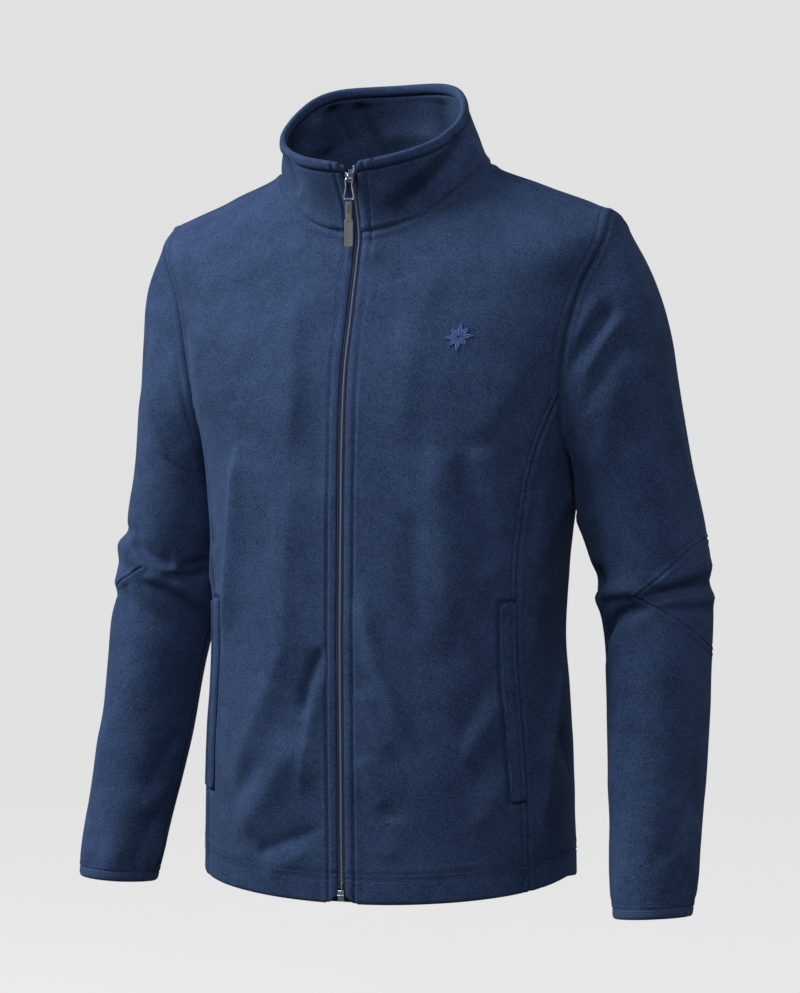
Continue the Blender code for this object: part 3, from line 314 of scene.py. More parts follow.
# Three places on the crest or trough, its height (below 0 for a trough), its width on its left
# and on its right, in millimetres. Places are (degrees, up) on the body and (degrees, along) on
# a sleeve.
folds = {
    "body": [
        # the wearer's right front
        ((-33, 428), (-40, 338), (-48.5, 208), 4, 10, 5),
        ((-14, 618), (-14, 500), (-16.5, 398), 2.4, 6, 18),
        ((-16, 386), (-18, 294), (-20.5, 203), 2.2, 8, 11),
        ((-17, 244), (-27.5, 174), (-40, 96), 3, 10, 10),
        ((-4, 240), (-10.5, 206), (-12.5, 166), -2.6, 5, 4),
        ((-4.5, 216), (-10, 160), (-12.5, 94), 2.1, 8, 4),
        ((-24, 138), (-34, 100), (-42.5, 72), -1.6, 8, 8),
        ((-12, 160), (-24, 102), (-38, 48), 4.2, 12, 14),
        ((-30.5, 34), (-19, 52), (-4, 72), -1.8, 5, 5),
        ((-26.5, 22), (-18, 32), (-9, 50), 1.4, 6, 6),
        ((-7, 488), (-8, 422), (-7, 368), -0.9, 10, 10),
        ((-25.5, 608), (-27, 550), (-25, 488), 1, 10, 10),
        ((-53, 328), (-60, 298), (-72, 290), 1.6, 9, 10),
        ((-46, 558), (-51, 498), (-55, 428), 1.8, 10, 13),
        # the wearer's left front
        ((21, 688), (18, 528), (18.5, 403), 2, 10, 16),
        ((27, 423), (32, 330), (36.5, 223), 2.8, 13, 13),
        ((24, 372), (23.5, 308), (26.5, 240), -1.5, 8, 8),
        ((34, 412), (39.5, 362), (51, 294), -2.7, 8, 5),
        ((38, 420), (46, 376), (57, 324), 2.6, 10, 6),
        ((49.5, 498), (44, 456), (40, 414), 1.7, 6, 13),
        ((6.5, 300), (12.5, 222), (24, 138), 3.2, 8, 6),
        ((7.5, 206), (11, 170), (18.5, 136), 1.5, 6, 5),
        ((6.5, 142), (10, 116), (15, 84), 1.7, 6, 4),
        ((54.5, 218), (45.5, 192), (36, 144), -1.4, 5, 6),
        ((54.5, 192), (44.5, 158), (37, 124), 1.4, 8, 6),
        ((53, 152), (45.5, 128), (38.5, 100), -1.2, 5, 6),
        ((55, 130), (48, 96), (39.5, 62), 1.5, 9, 8),
        ((45, 312), (50, 284), (53, 254), 1.4, 6, 4),
        ((15.5, 86), (16, 62), (14.5, 38), 1, 8, 6),
        # the sides
        ((97, 230), (77, 144), (67, 44), 3.6, 8, 4),
        ((67.5, 384), (67.5, 346), (65.5, 304), 1.8, 8, 5),
        ((75, 290), (69.5, 262), (70.5, 216), 1.4, 6, 4),
        ((97, 366), (77, 340), (65, 270), 2.6, 8, 10),
        ((84, 154), (91.5, 124), (102, 90), -2, 7, 8),
        ((-98, 372), (-84, 330), (-74, 262), 3.6, 9, 10),
        ((-100, 236), (-88, 190), (-79, 120), 3, 8, 9),
        ((-76, 180), (-88, 140), (-101, 98), -2.6, 7, 9),
        # behind
        ((122, 430), (136, 360), (152, 316), 2.2, 9, 14),
        ((124, 356), (140, 300), (160, 268), -2, 10, 9),
        ((236, 436), (224, 372), (206, 330), 2.1, 10, 13),
        ((238, 350), (220, 306), (198, 282), -1.8, 9, 10),
        ((150, 250), (172, 232), (196, 246), 1.7, 8, 10),
        ((142, 214), (166, 196), (188, 204), -1.5, 8, 8),
        ((214, 244), (228, 190), (238, 118), 1.7, 8, 11),
        ((128, 226), (136, 164), (142, 92), 1.7, 10, 8),
        ((166, 640), (160, 560), (150, 470), 1.3, 12, 14),
        ((196, 650), (203, 570), (214, 480), 1.3, 14, 12),
        ((180, 560), (178, 470), (181, 390), -1.1, 14, 14),
        ((158, 120), (172, 90), (180, 52), 1.1, 8, 10),
        ((205, 110), (194, 78), (190, 40), 0.9, 8, 9),
        # the collar
        ((88, 812), (56, 793), (16, 768), -6.9, 7, 9),
        ((92, 800), (66, 782), (40, 752), 4, 7, 9),
        ((78, 822), (40, 810), (10, 786), 2.1, 6, 8),
        ((226, 824), (222, 800), (216, 768), 4.8, 5, 6),
        ((206, 822), (206, 800), (202, 770), 3.2, 5, 6),
        ((240, 820), (238, 798), (236, 772), -2.7, 6, 7),
        ((146, 822), (150, 800), (158, 772), 1.6, 8, 10),
        ((-41, 784), (-49, 806), (-53, 834), -2.1, 6, 8),
        ((-60, 772), (-84, 790), (-118, 808), 2.1, 6, 8),
        ((150, 776), (180, 785), (214, 780), -1.6, 7, 7),
        ((-10, 752), (-24, 763), (-40, 766), 1.2, 5, 6),
    ],
    "left": [
        ((40.5, 20), (17.5, 16), (-16.5, 8), -4.6, 4, 4),
        ((42.5, 14), (18.5, 10), (-6.5, 4), 2.6, 4, 6),
        ((46.5, 28), (24.5, 26), (-9.5, 22), 3.6, 6, 4),
        ((45.5, 34), (23.5, 36), (-18.5, 36), -3, 6, 5),
        ((46.5, 40), (17.5, 50), (-21.5, 86), 2.2, 9, 8),
        ((62.5, 52), (43.5, 64), (13.5, 78), -2.2, 9, 9),
        ((75.5, 60), (80.5, 78), (85.5, 98), 1.8, 4, 4),
        ((-60, 178), (-14, 180), (18, 183), 3.6, 4, 4),
        ((-60, 186), (-16, 189), (14, 193), -2, 3.5, 5),
        ((-76, 248), (-38, 211), (22, 202), -7.4, 3, 3.5),
        ((-42, 250), (-23, 218), (24, 210), 4, 5, 9),
        ((8, 192), (56, 182), (138, 174), -7.2, 3.5, 4.5),
        ((12, 198), (56, 193), (132, 186), 3.6, 5, 5),
        ((16, 201), (56, 203), (116, 200), -3.6, 3.5, 4),
        ((20, 182), (56, 171), (128, 162), 3.4, 6, 5),
        ((-50, 144), (-48, 164), (-36, 180), -6.4, 5, 5),
        ((84, 272), (69, 318), (62, 366), 2, 4, 5),
        ((77, 352), (56, 398), (11, 440), -3.2, 7, 7),
        ((86, 382), (75, 412), (51, 438), 1.8, 6, 6),
        ((14, 166), (40, 160), (74, 148), -1.6, 7, 5),
        ((-66, 174), (-54, 186), (-40, 190), 2.6, 6, 6),
        ((-20, 290), (-34, 330), (-50, 390), 2, 10, 12),
        ((36, 452), (42, 462), (44, 474), -1.2, 3, 3),
        ((56, 446), (64, 459), (68, 474), -1.8, 3, 3),
        ((66, 452), (74, 462), (79, 474), 1.4, 3, 3),
        ((82, 444), (88, 458), (92, 474), -1.8, 3, 4),
        ((-12, 456), (-10, 464), (-9, 474), -0.9, 3, 3),
        ((112, 448), (118, 460), (121, 474), -1.5, 3, 4),
        ((-78, 452), (-84, 462), (-88, 474), -1.4, 3, 3),
        ((98, 116), (72, 126), (44, 132), -1.8, 7, 9),
        ((150, 30), (176, 42), (-156, 60), 3, 8, 10),
        ((140, 60), (170, 78), (-166, 98), -2.6, 8, 9),
        ((150, 240), (176, 262), (-150, 300), 2.4, 9, 11),
        ((130, 340), (158, 380), (-176, 430), -2, 10, 11),
        ((-70, 90), (-100, 110), (-140, 124), 3, 8, 10),
        ((-76, 190), (-104, 186), (-140, 196), -3.4, 7, 8),
        ((-80, 214), (-108, 212), (-146, 226), 3, 8, 9),
    ],
    "right": [
        ((52.5, 20), (21.5, 12), (-21.5, 0), 2.4, 6, 4),
        ((35.5, 30), (3.5, 22), (-50.5, 8), 2.4, 6, 4),
        ((34.5, 44), (12.5, 52), (-17.5, 68), 2.2, 7, 4),
        ((31.5, 16), (3.5, 8), (-23.5, 6), -1.8, 6, 5),
        ((9.5, 32), (-17.5, 30), (-45.5, 34), -1.6, 7, 6),
        ((33, 138), (-7, 154), (-35, 156), -6, 4, 5),
        ((-33, 156), (-54, 152), (-70, 140), -4, 5, 4),
        ((36, 146), (-15, 162), (-74, 150), 4.8, 5, 5),
        ((-19, 168), (-46, 166), (-78, 160), -4.6, 4, 4),
        ((7, 178), (-41, 180), (-108, 222), 5, 4, 5),
        ((10, 178), (-30, 187), (-88, 222), -3.6, 4, 4),
        ((22, 198), (-23, 202), (-73, 228), 2.2, 8, 10),
        ((-81, 316), (-63, 352), (-45, 386), -3.6, 7, 5),
        ((-85, 352), (-69, 384), (-37, 410), 3, 6, 6),
        ((-72, 398), (-60, 428), (-47, 462), -3.4, 7, 5),
        ((-104, 412), (-88, 438), (-75, 460), 1.8, 5, 5),
        ((11, 424), (5, 446), (6, 466), -1.4, 5, 5),
        ((6, 128), (44, 133), (92, 138), -4, 5, 6),
        ((12, 148), (48, 149), (96, 150), 4, 7, 7),
        ((12, 167), (38, 166), (86, 163), -1.4, 4.5, 5),
        ((14, 176), (46, 184), (96, 184), 3, 6, 6),
        ((36, 199), (62, 197), (104, 197), -3.8, 5, 7),
        ((27.5, 20), (63.5, 40), (101.5, 70), -4.4, 22, 24),
        ((17.5, 40), (67.5, 80), (93.5, 190), -4.2, 34, 34),
        ((-20, 260), (10, 310), (34, 370), 1.8, 11, 14),
        ((-30, 446), (-36, 456), (-40, 467), -1.3, 3, 3),
        ((-50, 440), (-57, 454), (-62, 467), -1.8, 3, 3),
        ((-60, 444), (-67, 456), (-72, 467), 1.4, 3, 3),
        ((-74, 440), (-81, 454), (-86, 467), -1.7, 3, 4),
        ((18, 450), (20, 459), (21, 467), -0.9, 3, 3),
        ((108, 442), (113, 455), (116, 467), -1.5, 3, 4),
        ((30, 236), (56, 290), (74, 350), -1.4, 12, 14),
        ((150, 26), (178, 40), (-150, 56), 3, 8, 10),
        ((136, 56), (166, 80), (-164, 94), -2.6, 9, 9),
        ((156, 226), (-176, 250), (-146, 290), 2.4, 9, 11),
        ((128, 330), (154, 370), (178, 424), -2, 10, 11),
        ((-84, 96), (-108, 106), (-142, 122), 2.8, 8, 10),
        ((-100, 176), (-124, 180), (-150, 190), -3.2, 7, 8),
    ],
}


def foldLine(surface, row):
    # The quadratic curve that passes through the middle place half-way along.
    first, middle, last = np.array(row[:3]) * (1, 0.001)
    if surface != "body":
        middle[0] = first[0] + wrapTurn(middle[0] - first[0])
        last[0] = middle[0] + wrapTurn(last[0] - middle[0])
    bend = 2 * middle - (first + last) / 2
    t = np.linspace(0, 1, 81)[:, None]
    path = (1 - t) ** 2 * first + 2 * t * (1 - t) * bend + t * t * last
    path[:, 1] = np.maximum(path[:, 1], 0.0)
    point, normal = surfaces[surface]
    return point(*path.T), normal(*path.T), *(np.array(row[3:]) * 0.001)


foldLines = {name: [foldLine(name, row) for row in rows] for name, rows in folds.items()}


def foldHeight(surface, points):
    # Height x end fade x exp(1 - sqrt(1 + (distance / width)^2)), summed over the folds.
    total = np.zeros(len(points))
    flip = -1 if surface == "right" else 1
    for line, normals, height, leftWidth, rightWidth in foldLines[surface]:
        reach = 6 * max(leftWidth, rightWidth)
        near = np.flatnonzero(((points > line.min(0) - reach) & (points < line.max(0) + reach)).all(1))
        if len(near) == 0:
            continue
        distance, across, index = nearest(points[near], line)
        tangent = np.gradient(line, axis=0)[index]
        left = (np.cross(normals[index], tangent) * across).sum(1) * flip > 0
        fade = easeIn(np.minimum(index, len(line) - 1 - index) / (foldEnds * len(line)))
        width = np.where(left, leftWidth, rightWidth) * (0.55 + 0.45 * fade)
        ridge = np.exp(1 - np.sqrt(1 + (distance / width) ** 2))
        total[near] += foldStrength[surface] * height * fade * ridge
    return total


# ---- seams
# What a seam does to the cloth beside it: distance from the seam, width and height of each ring.
seamShapes = {
    "joined": ((0.0, 0.0016, -0.0020), (0.0038, 0.0022, 0.0006)),
    "topstitched": ((0.0, 0.0016, -0.0021), (0.0032, 0.0020, 0.0009), (0.0062, 0.0010, -0.0010)),
    "armhole": ((0.0, 0.0012, -0.0012), (0.0046, 0.0028, 0.0006), (0.0092, 0.0010, -0.0006)),
    "strip": ((0.0, 0.0010, -0.0008), (0.0026, 0.0016, 0.0005), (0.0062, 0.0009, -0.0005)),
    "neck": ((0.0, 0.0018, -0.0015), (0.0050, 0.0028, 0.0007)),
    "hem": ((0.0215, 0.0010, -0.0009), (0.0258, 0.0010, -0.0010), (0.0300, 0.0024, 0.0004)),
    "placket": ((0.0082, 0.0013, -0.0014), (0.0042, 0.0030, 0.0007), (0.0118, 0.0026, 0.0004)),
    "brim": ((0.0096, 0.0012, -0.0018), (0.0046, 0.0040, 0.0014)),
    "cuff": ((0.0, 0.0012, -0.0010), (0.0030, 0.0020, 0.0004), (0.0058, 0.0009, -0.0005)),
    "pocket": ((0.0, 0.0026, -0.0030), (0.0052, 0.0022, 0.0005)),
}


drape = {
    "holeBlend": 0.008,  # from the armhole, where the body and the sleeve share one way out
    "holeCalm": 0.010,
    "zipCalm": 0.011,
    "swell": (0.0032, 0.0115),  # height and width of the seam's swell over the shoulder
    "swellFrom": (0.35, 1.2),
    "ripples": ((0.0009, 0.055, 3), (0.00028, 0.022, 5)),  # height, size and seed
}


class Hole:
    # One armhole: points along it, the way out that the body and the sleeve share there, and how
    # much the seam swells.
    def __init__(self, side):
        angle = np.arange(-180.0, 180.1, 2.0)
        flip = mirror if side == "right" else 1
        self.line = bodyPoint(*armhole(angle)) * flip
        self.out = unit(bodyNormal(*armhole(angle)) + sleeveNormal(angle, 0 * angle)) * flip
        start, rise = drape["swellFrom"]
        self.swell = easeIn(start + rise * np.sin(np.radians(angle)))


holes = {side: Hole(side) for side in ("left", "right")}


def face(surface, across, along, seams=()):
    # Outer face of the finished cloth: base + (armhole + folds + ripple + seams) x normal.
    point, normalAt = surfaces[surface]
    across, along = pair(across, along)
    base = point(across, along).reshape(-1, 3)
    normal = normalAt(across, along).reshape(-1, 3)
    calm = np.ones(len(base))
    height = np.zeros(len(base))
    swell, swellWidth = drape["swell"]
    for side, hole in holes.items():
        if surface not in ("body", side):
            continue
        distance, _, index = nearest(base, hole.line)
        weight = bell(distance, drape["holeBlend"])[:, None]
        normal = unit(normal + weight * (hole.out[index] - normal))
        calm *= 1 - bell(distance, drape["holeCalm"])
        height += swell * hole.swell[index] * bell(distance, swellWidth)
    if surface == "body":
        calm *= np.where(base[:, 1] < 0, 1 - bell(base[:, 0], drape["zipCalm"]), 1)
    ripple = sum(rise * softNoise(base, size, seed) for rise, size, seed in drape["ripples"])
    height += calm * (foldHeight(surface, base) + ripple)
    for line, shapeName in seams:
        distance = nearest(base, line)[0]
        for offset, width, depth in seamShapes[shapeName]:
            height += depth * bell(distance - offset, width)
    outer = base + height[:, None] * normal
    return outer.reshape(*across.shape, 3), normal.reshape(*across.shape, 3)


def layers(surface, across, along, seams, thick):
    # The cloth's outer face, and the inner one a wall's thickness under it.
    outer, normal = face(surface, across, along, seams)
    return outer, outer - np.asarray(thick)[..., None] * normal


def lineOn(surface, across, along):
    return surfaces[surface][0](*pair(across, along))


signs = {"left": 1.0, "right": -1.0}
ups = np.linspace(0, 0.4615, 130)


def princess(side, seam, holeAngle):
    return signs[side] * seamDegrees(seam, holeAngle, ups), ups


frontSeams = {side: princess(side, frontSeam, form["holeFrontSeam"]) for side in signs}
backSeams = {side: princess(side, backSeam, form["holeBackSeam"]) for side in signs}


def shoulderPath(side):
    up = np.linspace(form["neckUp"], armhole(90.0)[1], 60)
    return signs[side] * np.full_like(up, form["shoulderDegrees"]), up


def elbowHalf(angle):
    part = np.clip((angle % 360) / form["elbowDegrees"], 0, 1)
    return form["elbowHalfHeight"] * np.sin(math.pi * part)


def elbowPath(side, below):
    angle = np.linspace(0, form["elbowDegrees"], 110)
    return angle, form["elbowAlong"][side] + below * elbowHalf(angle)


def cuffPath(side, above=0.0):
    angle = np.linspace(-180, 180, 181)
    return angle, cuffSeam(side, angle) - above


hemLine = lineOn("body", np.linspace(-180, 180, 361), 0.0)
neckLine = lineOn("body", np.linspace(-180, 180, 301), form["neckUp"])
brimLine = lineOn("body", np.linspace(-180, 180, 301), form["collarTopUp"])
zipUps = np.linspace(0, form["collarTopUp"], 300)


def zipEdge(side, up):
    # The cloth's edge beside the zip, which opens out towards the top of the collar.
    start, length, most = form["zipSpread"]
    spread = most * easeIn((up - form["neckUp"] - start) / length)
    return degreesAtX(form["zipEdge"][side] + spread, up)


def zipEdgeX(side, up):
    return np.abs(bodyPoint(zipEdge(side, up), up)[..., 0])


zipLines = {side: lineOn("body", signs[side] * zipEdge(side, zipUps), zipUps) for side in signs}
print("form, folds and seams worked out")


# ---- meshes
pieceNames = []


def numbered(shape):
    return np.arange(shape[0] * shape[1]).reshape(shape[:2])


def wrapped(ids):
    # The grid closed round: its first column again after its last.
    return np.column_stack([ids, ids[:, 0]])


def gridQuads(ids):
    return np.stack([ids[:-1, :-1], ids[:-1, 1:], ids[1:, 1:], ids[1:, :-1]], axis=-1).reshape(-1, 4)


def addObject(name, data):
    thing = bpy.data.objects.new(name, data)
    bpy.context.scene.collection.objects.link(thing)
    return thing


def makeObject(name, points, quads, material, uv=None):
    # A quad with the same corner twice becomes a triangle.
    faces = [tuple(dict.fromkeys(quad)) for quad in quads.tolist()]
    mesh = bpy.data.meshes.new(name)
    mesh.from_pydata(points.tolist(), [], [each for each in faces if len(each) > 2])
    if uv is not None:
        layer = mesh.uv_layers.new(name="UVMap")
        corner = np.empty(len(mesh.loops), int)
        mesh.loops.foreach_get("vertex_index", corner)
        layer.data.foreach_set("uv", uv[corner].ravel())
    mesh.shade_smooth()
    mesh.materials.append(material)
    return addObject(name, mesh)


def cloth(name, outer, inner, quads, material, uv, rimRows):
    # Two layers joined along every free edge by a half-round rim.
    outer = outer.reshape(-1, 3)
    inner = inner.reshape(-1, 3)
    used, quads = np.unique(quads, return_inverse=True)
    quads = quads.reshape(-1, 4)
    outer = outer[used]
    inner = inner[used]
    count = len(outer)
    middle = quads[len(quads) // 2]
    across = np.cross(outer[middle[2]] - outer[middle[0]], outer[middle[3]] - outer[middle[1]])
    if np.dot(across, outer[middle[0]] - inner[middle[0]]) < 0:
        quads = quads[:, ::-1]
    starts = quads.ravel()
    ends = np.roll(quads, -1, axis=1).ravel()
    real = starts != ends
    starts = starts[real]
    ends = ends[real]
    free = ~np.isin(starts * count + ends, ends * count + starts)
    starts = starts[free]
    ends = ends[free]
    edge = np.unique(starts)
    centres = outer[quads].mean(1)
    total = np.zeros((count, 3))
    shares = np.zeros(count)
    for corner in range(4):
        np.add.at(total, quads[:, corner], centres)
        np.add.at(shares, quads[:, corner], 1)
    half = (outer[edge] - inner[edge]) / 2
    middles = (outer[edge] + inner[edge]) / 2
    away = outer[edge] - total[edge] / shares[edge, None]
    through = unit(half)
    away = unit(away - (away * through).sum(1, keepdims=True) * through)
    radius = np.linalg.norm(half, axis=1, keepdims=True)
    rings = []
    for row in range(1, rimRows + 1):
        turn = math.pi * row / (rimRows + 1)
        rings.append(middles + math.cos(turn) * half + math.sin(turn) * radius * away)
    first = np.searchsorted(edge, starts)
    second = np.searchsorted(edge, ends)
    rims = []
    chain = [(starts, ends)]
    for row in range(rimRows):
        before = 2 * count + row * len(edge)
        chain.append((before + first, before + second))
    chain.append((count + starts, count + ends))
    for (a, b), (c, d) in zip(chain, chain[1:]):
        rims.append(np.stack([b, a, c, d], axis=1))
    quads = np.concatenate([quads, count + quads[:, ::-1], *rims])
    points = np.concatenate([outer, inner, *rings])
    uv = uv.reshape(-1, 2)[used]
    return makeObject(name, points, quads, material, np.concatenate([uv, uv] + [uv[edge]] * rimRows))


def sleeveCells(shape, splitRow, closed):
    # Cells of a tube's grid, with a lens left open between splitRow and the next row.
    ids = numbered(shape)
    ids[splitRow + 1, closed] = ids[splitRow, closed]
    ids = wrapped(ids)
    return np.concatenate([gridQuads(ids[:splitRow + 1]), gridQuads(ids[splitRow + 1:])])


def stops(*parts):
    # Places from one stop to the next: (from, to, how many).
    pieces = [np.linspace(a, b, n, endpoint=False) for a, b, n in parts]
    return np.append(np.concatenate(pieces), parts[-1][1])


def joinParts(parts):
    counts = np.cumsum([0] + [len(points) for points, _ in parts])
    faces = [quads + count for (_, quads), count in zip(parts, counts)]
    return np.concatenate([points for points, _ in parts]), np.concatenate(faces)


def sections(middles, across, other, radius, sides):
    # Round sections: middle + radius x (cos x across + sin x other), for each turn of the round.
    turn = (np.arange(sides) * 2 * math.pi / sides)[:, None]
    ring = np.cos(turn) * across[..., None, :] + np.sin(turn) * other[..., None, :]
    return middles[..., None, :] + np.asarray(radius)[..., None, None] * ring


# ---- materials
class Socket:
    # A socket in a node tree, with + - and * that add Math nodes.
    def __init__(self, tree, socket):
        self.tree = tree
        self.socket = socket

    def math(self, operation, *others, flipped=False):
        operands = [self, *others]
        if flipped:
            operands.reverse()
        return self.tree.add("ShaderNodeMath", {"operation": operation}, dict(enumerate(operands)))

    def __add__(self, other):
        return self.math("ADD", other)

    def __sub__(self, other):
        return self.math("SUBTRACT", other)

    def __rsub__(self, other):
        return self.math("SUBTRACT", other, flipped=True)

    def __mul__(self, other):
        return self.math("MULTIPLY", other)

    __radd__ = __add__
    __rmul__ = __mul__


class Finish:
    # A material's node tree, with one method for any node.
    def __init__(self, name):
        self.material = bpy.data.materials.new(name)
        self.material.use_nodes = True
        self.nodes = self.material.node_tree.nodes
        self.links = self.material.node_tree.links
        self.shader = self.nodes["Principled BSDF"]

    def add(self, kind, settings, inputs, output=0):
        node = self.nodes.new(kind)
        for key, value in settings.items():
            setattr(node, key, value)
        for key, value in inputs.items():
            self.put(node.inputs[key], value)
        return Socket(self, node.outputs[output])

    def put(self, target, value):
        if isinstance(value, Socket):
            self.links.new(value.socket, target)
        else:
            target.default_value = value

    def set(self, **values):
        for key, value in values.items():
            self.put(self.shader.inputs[key.replace("_", " ")], value)

    def place(self, kind="Object"):
        return Socket(self, self.nodes.new("ShaderNodeTexCoord").outputs[kind])

    def uvParts(self):
        # The two directions of the piece's own map, in metres over the cloth.
        first = self.add("ShaderNodeSeparateXYZ", {}, {0: self.place("UV")})
        return first, Socket(self, first.socket.node.outputs[1])

    def noise(self, place, scale, detail=2.0, roughness=0.5):
        inputs = {"Vector": place, "Scale": scale, "Detail": detail, "Roughness": roughness}
        return self.add("ShaderNodeTexNoise", {}, inputs)

    def mapped(self, place, scale, turn=(0, 0, 0)):
        return self.add("ShaderNodeMapping", {}, {"Vector": place, "Scale": scale, "Rotation": turn})

    def clamped(self, value):
        return self.add("ShaderNodeClamp", {}, {"Value": value, "Min": 0.0, "Max": 1.0})

    def mixColor(self, factor, first, second):
        return self.add("ShaderNodeMix", {"data_type": "RGBA"}, {0: factor, 6: first, 7: second}, 2)

    def bump(self, height, strength, distance):
        inputs = {"Height": height, "Strength": strength, "Distance": distance}
        return self.add("ShaderNodeBump", {}, inputs)


fleeceLook = {
    "shade": (0.0100, 0.0195, 0.0480, 1),
    "tip": (0.0450, 0.0785, 0.1720, 1),
    "sheen": 0.10,
    "sheenTint": (0.45, 0.62, 1.00, 1),
    "nap": (1900.0, 2.8),  # bumps a metre, and how strongly they lighten
    "tuft": (330.0, 0.20),
    "cloud": (60.0, 0.48),
    "drift": (16.0, 0.55),
    "napStretch": 0.42,
    "napTurn": (math.radians(35), math.radians(-45), 0.0),
    "napDepth": 0.0006,
}


def fleeceFinish(name, look):
    # Nap: fine tufts drawn out on a slant lift and lighten the cloth, over a faint cloudiness.
    finish = Finish(name)
    place = finish.place()
    slanted = finish.mapped(place, (1.0, 1.0, look["napStretch"]), look["napTurn"])
    nap = finish.noise(slanted, look["nap"][0], 1.0, 0.5)
    tuft = finish.noise(slanted, look["tuft"][0], 1.0, 0.5)
    cloud = finish.noise(place, look["cloud"][0], 3.0, 0.55)
    drift = finish.noise(place, look["drift"][0], 2.0, 0.5)
    lightness = (nap - 0.5) * look["nap"][1] + (tuft - 0.5) * look["tuft"][1] + 0.46
    lightness = lightness + (cloud - 0.5) * look["cloud"][1] + (drift - 0.5) * look["drift"][1]
    color = finish.mixColor(finish.clamped(lightness), look["shade"], look["tip"])
    pile = nap * 0.8 + tuft * 0.2
    finish.set(Base_Color=color, Roughness=0.94 - pile * 0.12)
    finish.set(Normal=finish.bump(pile, 0.6, look["napDepth"]))
    finish.set(Sheen_Weight=look["sheen"], Sheen_Roughness=0.42, Sheen_Tint=look["sheenTint"])
    finish.set(Specular_IOR_Level=0.05)
    return finish.material


bindingLook = {"dark": (0.0150, 0.0270, 0.0620, 1), "light": (0.0400, 0.0660, 0.1420, 1), "pitch": 0.0009}
tapeLook = {"dark": (0.0040, 0.0060, 0.0130, 1), "light": (0.0120, 0.0165, 0.0330, 1), "pitch": 0.0007}


def wovenFinish(name, look, ribs=True):
    # Fine ribs: sines of the two UV directions, which are metres across and along the cloth.
    finish = Finish(name)
    sideways, lengthways = finish.uvParts()
    turns = 2 * math.pi / look["pitch"]
    across = (sideways * turns).math("SINE") * 0.5 + 0.5
    along = (lengthways * (turns * 0.8)).math("SINE") * 0.5 + 0.5
    weave = across * 0.8 + along * 0.2 if ribs else across * along
    fuzz = finish.noise(finish.place(), 900.0, 2.0, 0.6)
    factor = weave * 0.6 + fuzz * 0.4
    finish.set(Base_Color=finish.mixColor(factor, look["dark"], look["light"]))
    finish.set(Roughness=0.78 - weave * 0.12, Normal=finish.bump(factor, 0.6, 0.0003))
    finish.set(Sheen_Weight=0.12, Sheen_Roughness=0.5, Sheen_Tint=(0.30, 0.48, 1.00, 1))
    finish.set(Specular_Tint=(0.40, 0.58, 1.00, 1), Specular_IOR_Level=0.20)
    return finish.material


def threadFinish(name, color, gloss):
    # Two-ply thread: a fine slanting twist over a little noise.
    finish = Finish(name)
    place = finish.place()
    twist = finish.noise(finish.mapped(place, (1.0, 1.0, 0.35), (0.5, 0.4, 0.0)), 2600.0, 1.0, 0.5)
    tone = finish.noise(place, 260.0, 2.0, 0.5)
    factor = twist * 0.6 + tone * 0.4
    dark = tuple(0.62 * part for part in color[:3]) + (1,)
    light = tuple(min(1.0, 1.30 * part) for part in color[:3]) + (1,)
    finish.set(Base_Color=finish.mixColor(factor, dark, light))
    finish.set(Roughness=gloss + twist * 0.15, Normal=finish.bump(twist, 0.5, 0.0002))
    finish.set(Sheen_Weight=0.05, Sheen_Roughness=0.4, Specular_Tint=(0.45, 0.62, 1.00, 1))
    return finish.material


def nylonFinish(name):
    # Moulded filament whose pale heads are a painted highlight: UV x is the distance from the zip's
    # middle, and y how strong the row's painted highlight is.
    finish = Finish(name)
    place = finish.place()
    across, near = finish.uvParts()
    streak = finish.noise(finish.mapped(place, (1.0, 1.0, 0.2)), 1500.0, 2.0, 0.5)
    lint = finish.noise(place, 240.0, 3.0, 0.6)
    # Painted highlight: pale on the heads by the middle, and weaker (0.3) on the legs beyond 2 mm.
    paintedHeadHighlight = finish.clamped(1.25 - across * 900.0) * near + finish.clamped(across * 1500.0 - 3.0) * 0.3
    factor = streak * 0.5 + lint * 0.5
    shank = finish.mixColor(factor, (0.004, 0.007, 0.016, 1), (0.016, 0.023, 0.046, 1))
    # The pale tip colour is a painted highlight; the dark shank colour is the filament's own.
    tip = finish.mixColor(factor, (0.200, 0.255, 0.420, 1), (0.400, 0.480, 0.720, 1))
    finish.set(Base_Color=finish.mixColor(paintedHeadHighlight, shank, tip))
    finish.set(Roughness=0.32 + lint * 0.22, Normal=finish.bump(streak, 0.25, 0.0001))
    finish.set(Specular_Tint=(0.40, 0.58, 1.00, 1))
    return finish.material


def metalFinish(name):
    # Tumbled plated metal: fine scratches, and duller worn patches.
    finish = Finish(name)
    place = finish.place()
    scratch = finish.noise(finish.mapped(place, (1.0, 1.0, 0.12), (0.2, 0.7, 0.1)), 3200.0, 2.0, 0.6)
    patch = finish.noise(place, 420.0, 2.0, 0.5)
    finish.set(Base_Color=finish.mixColor(patch, (0.30, 0.35, 0.44, 1), (0.52, 0.58, 0.68, 1)))
    finish.set(Metallic=1.0, Roughness=0.20 + scratch * 0.16 + patch * 0.08)
    finish.set(Normal=finish.bump(scratch, 0.20, 0.00005))
    return finish.material


def taupeFinish(name, dark, light):
    # Soft-touch moulding: a fine even spark texture, paler where it is rubbed.
    finish = Finish(name)
    place = finish.place()
    grain = finish.noise(place, 3800.0, 2.0, 0.6)
    rubbed = finish.noise(place, 190.0, 3.0, 0.55)
    factor = grain * 0.3 + rubbed * 0.7
    finish.set(Base_Color=finish.mixColor(factor, dark, light))
    finish.set(Roughness=0.46 + grain * 0.14 - rubbed * 0.08, Normal=finish.bump(grain, 0.35, 0.00008))
    return finish.material


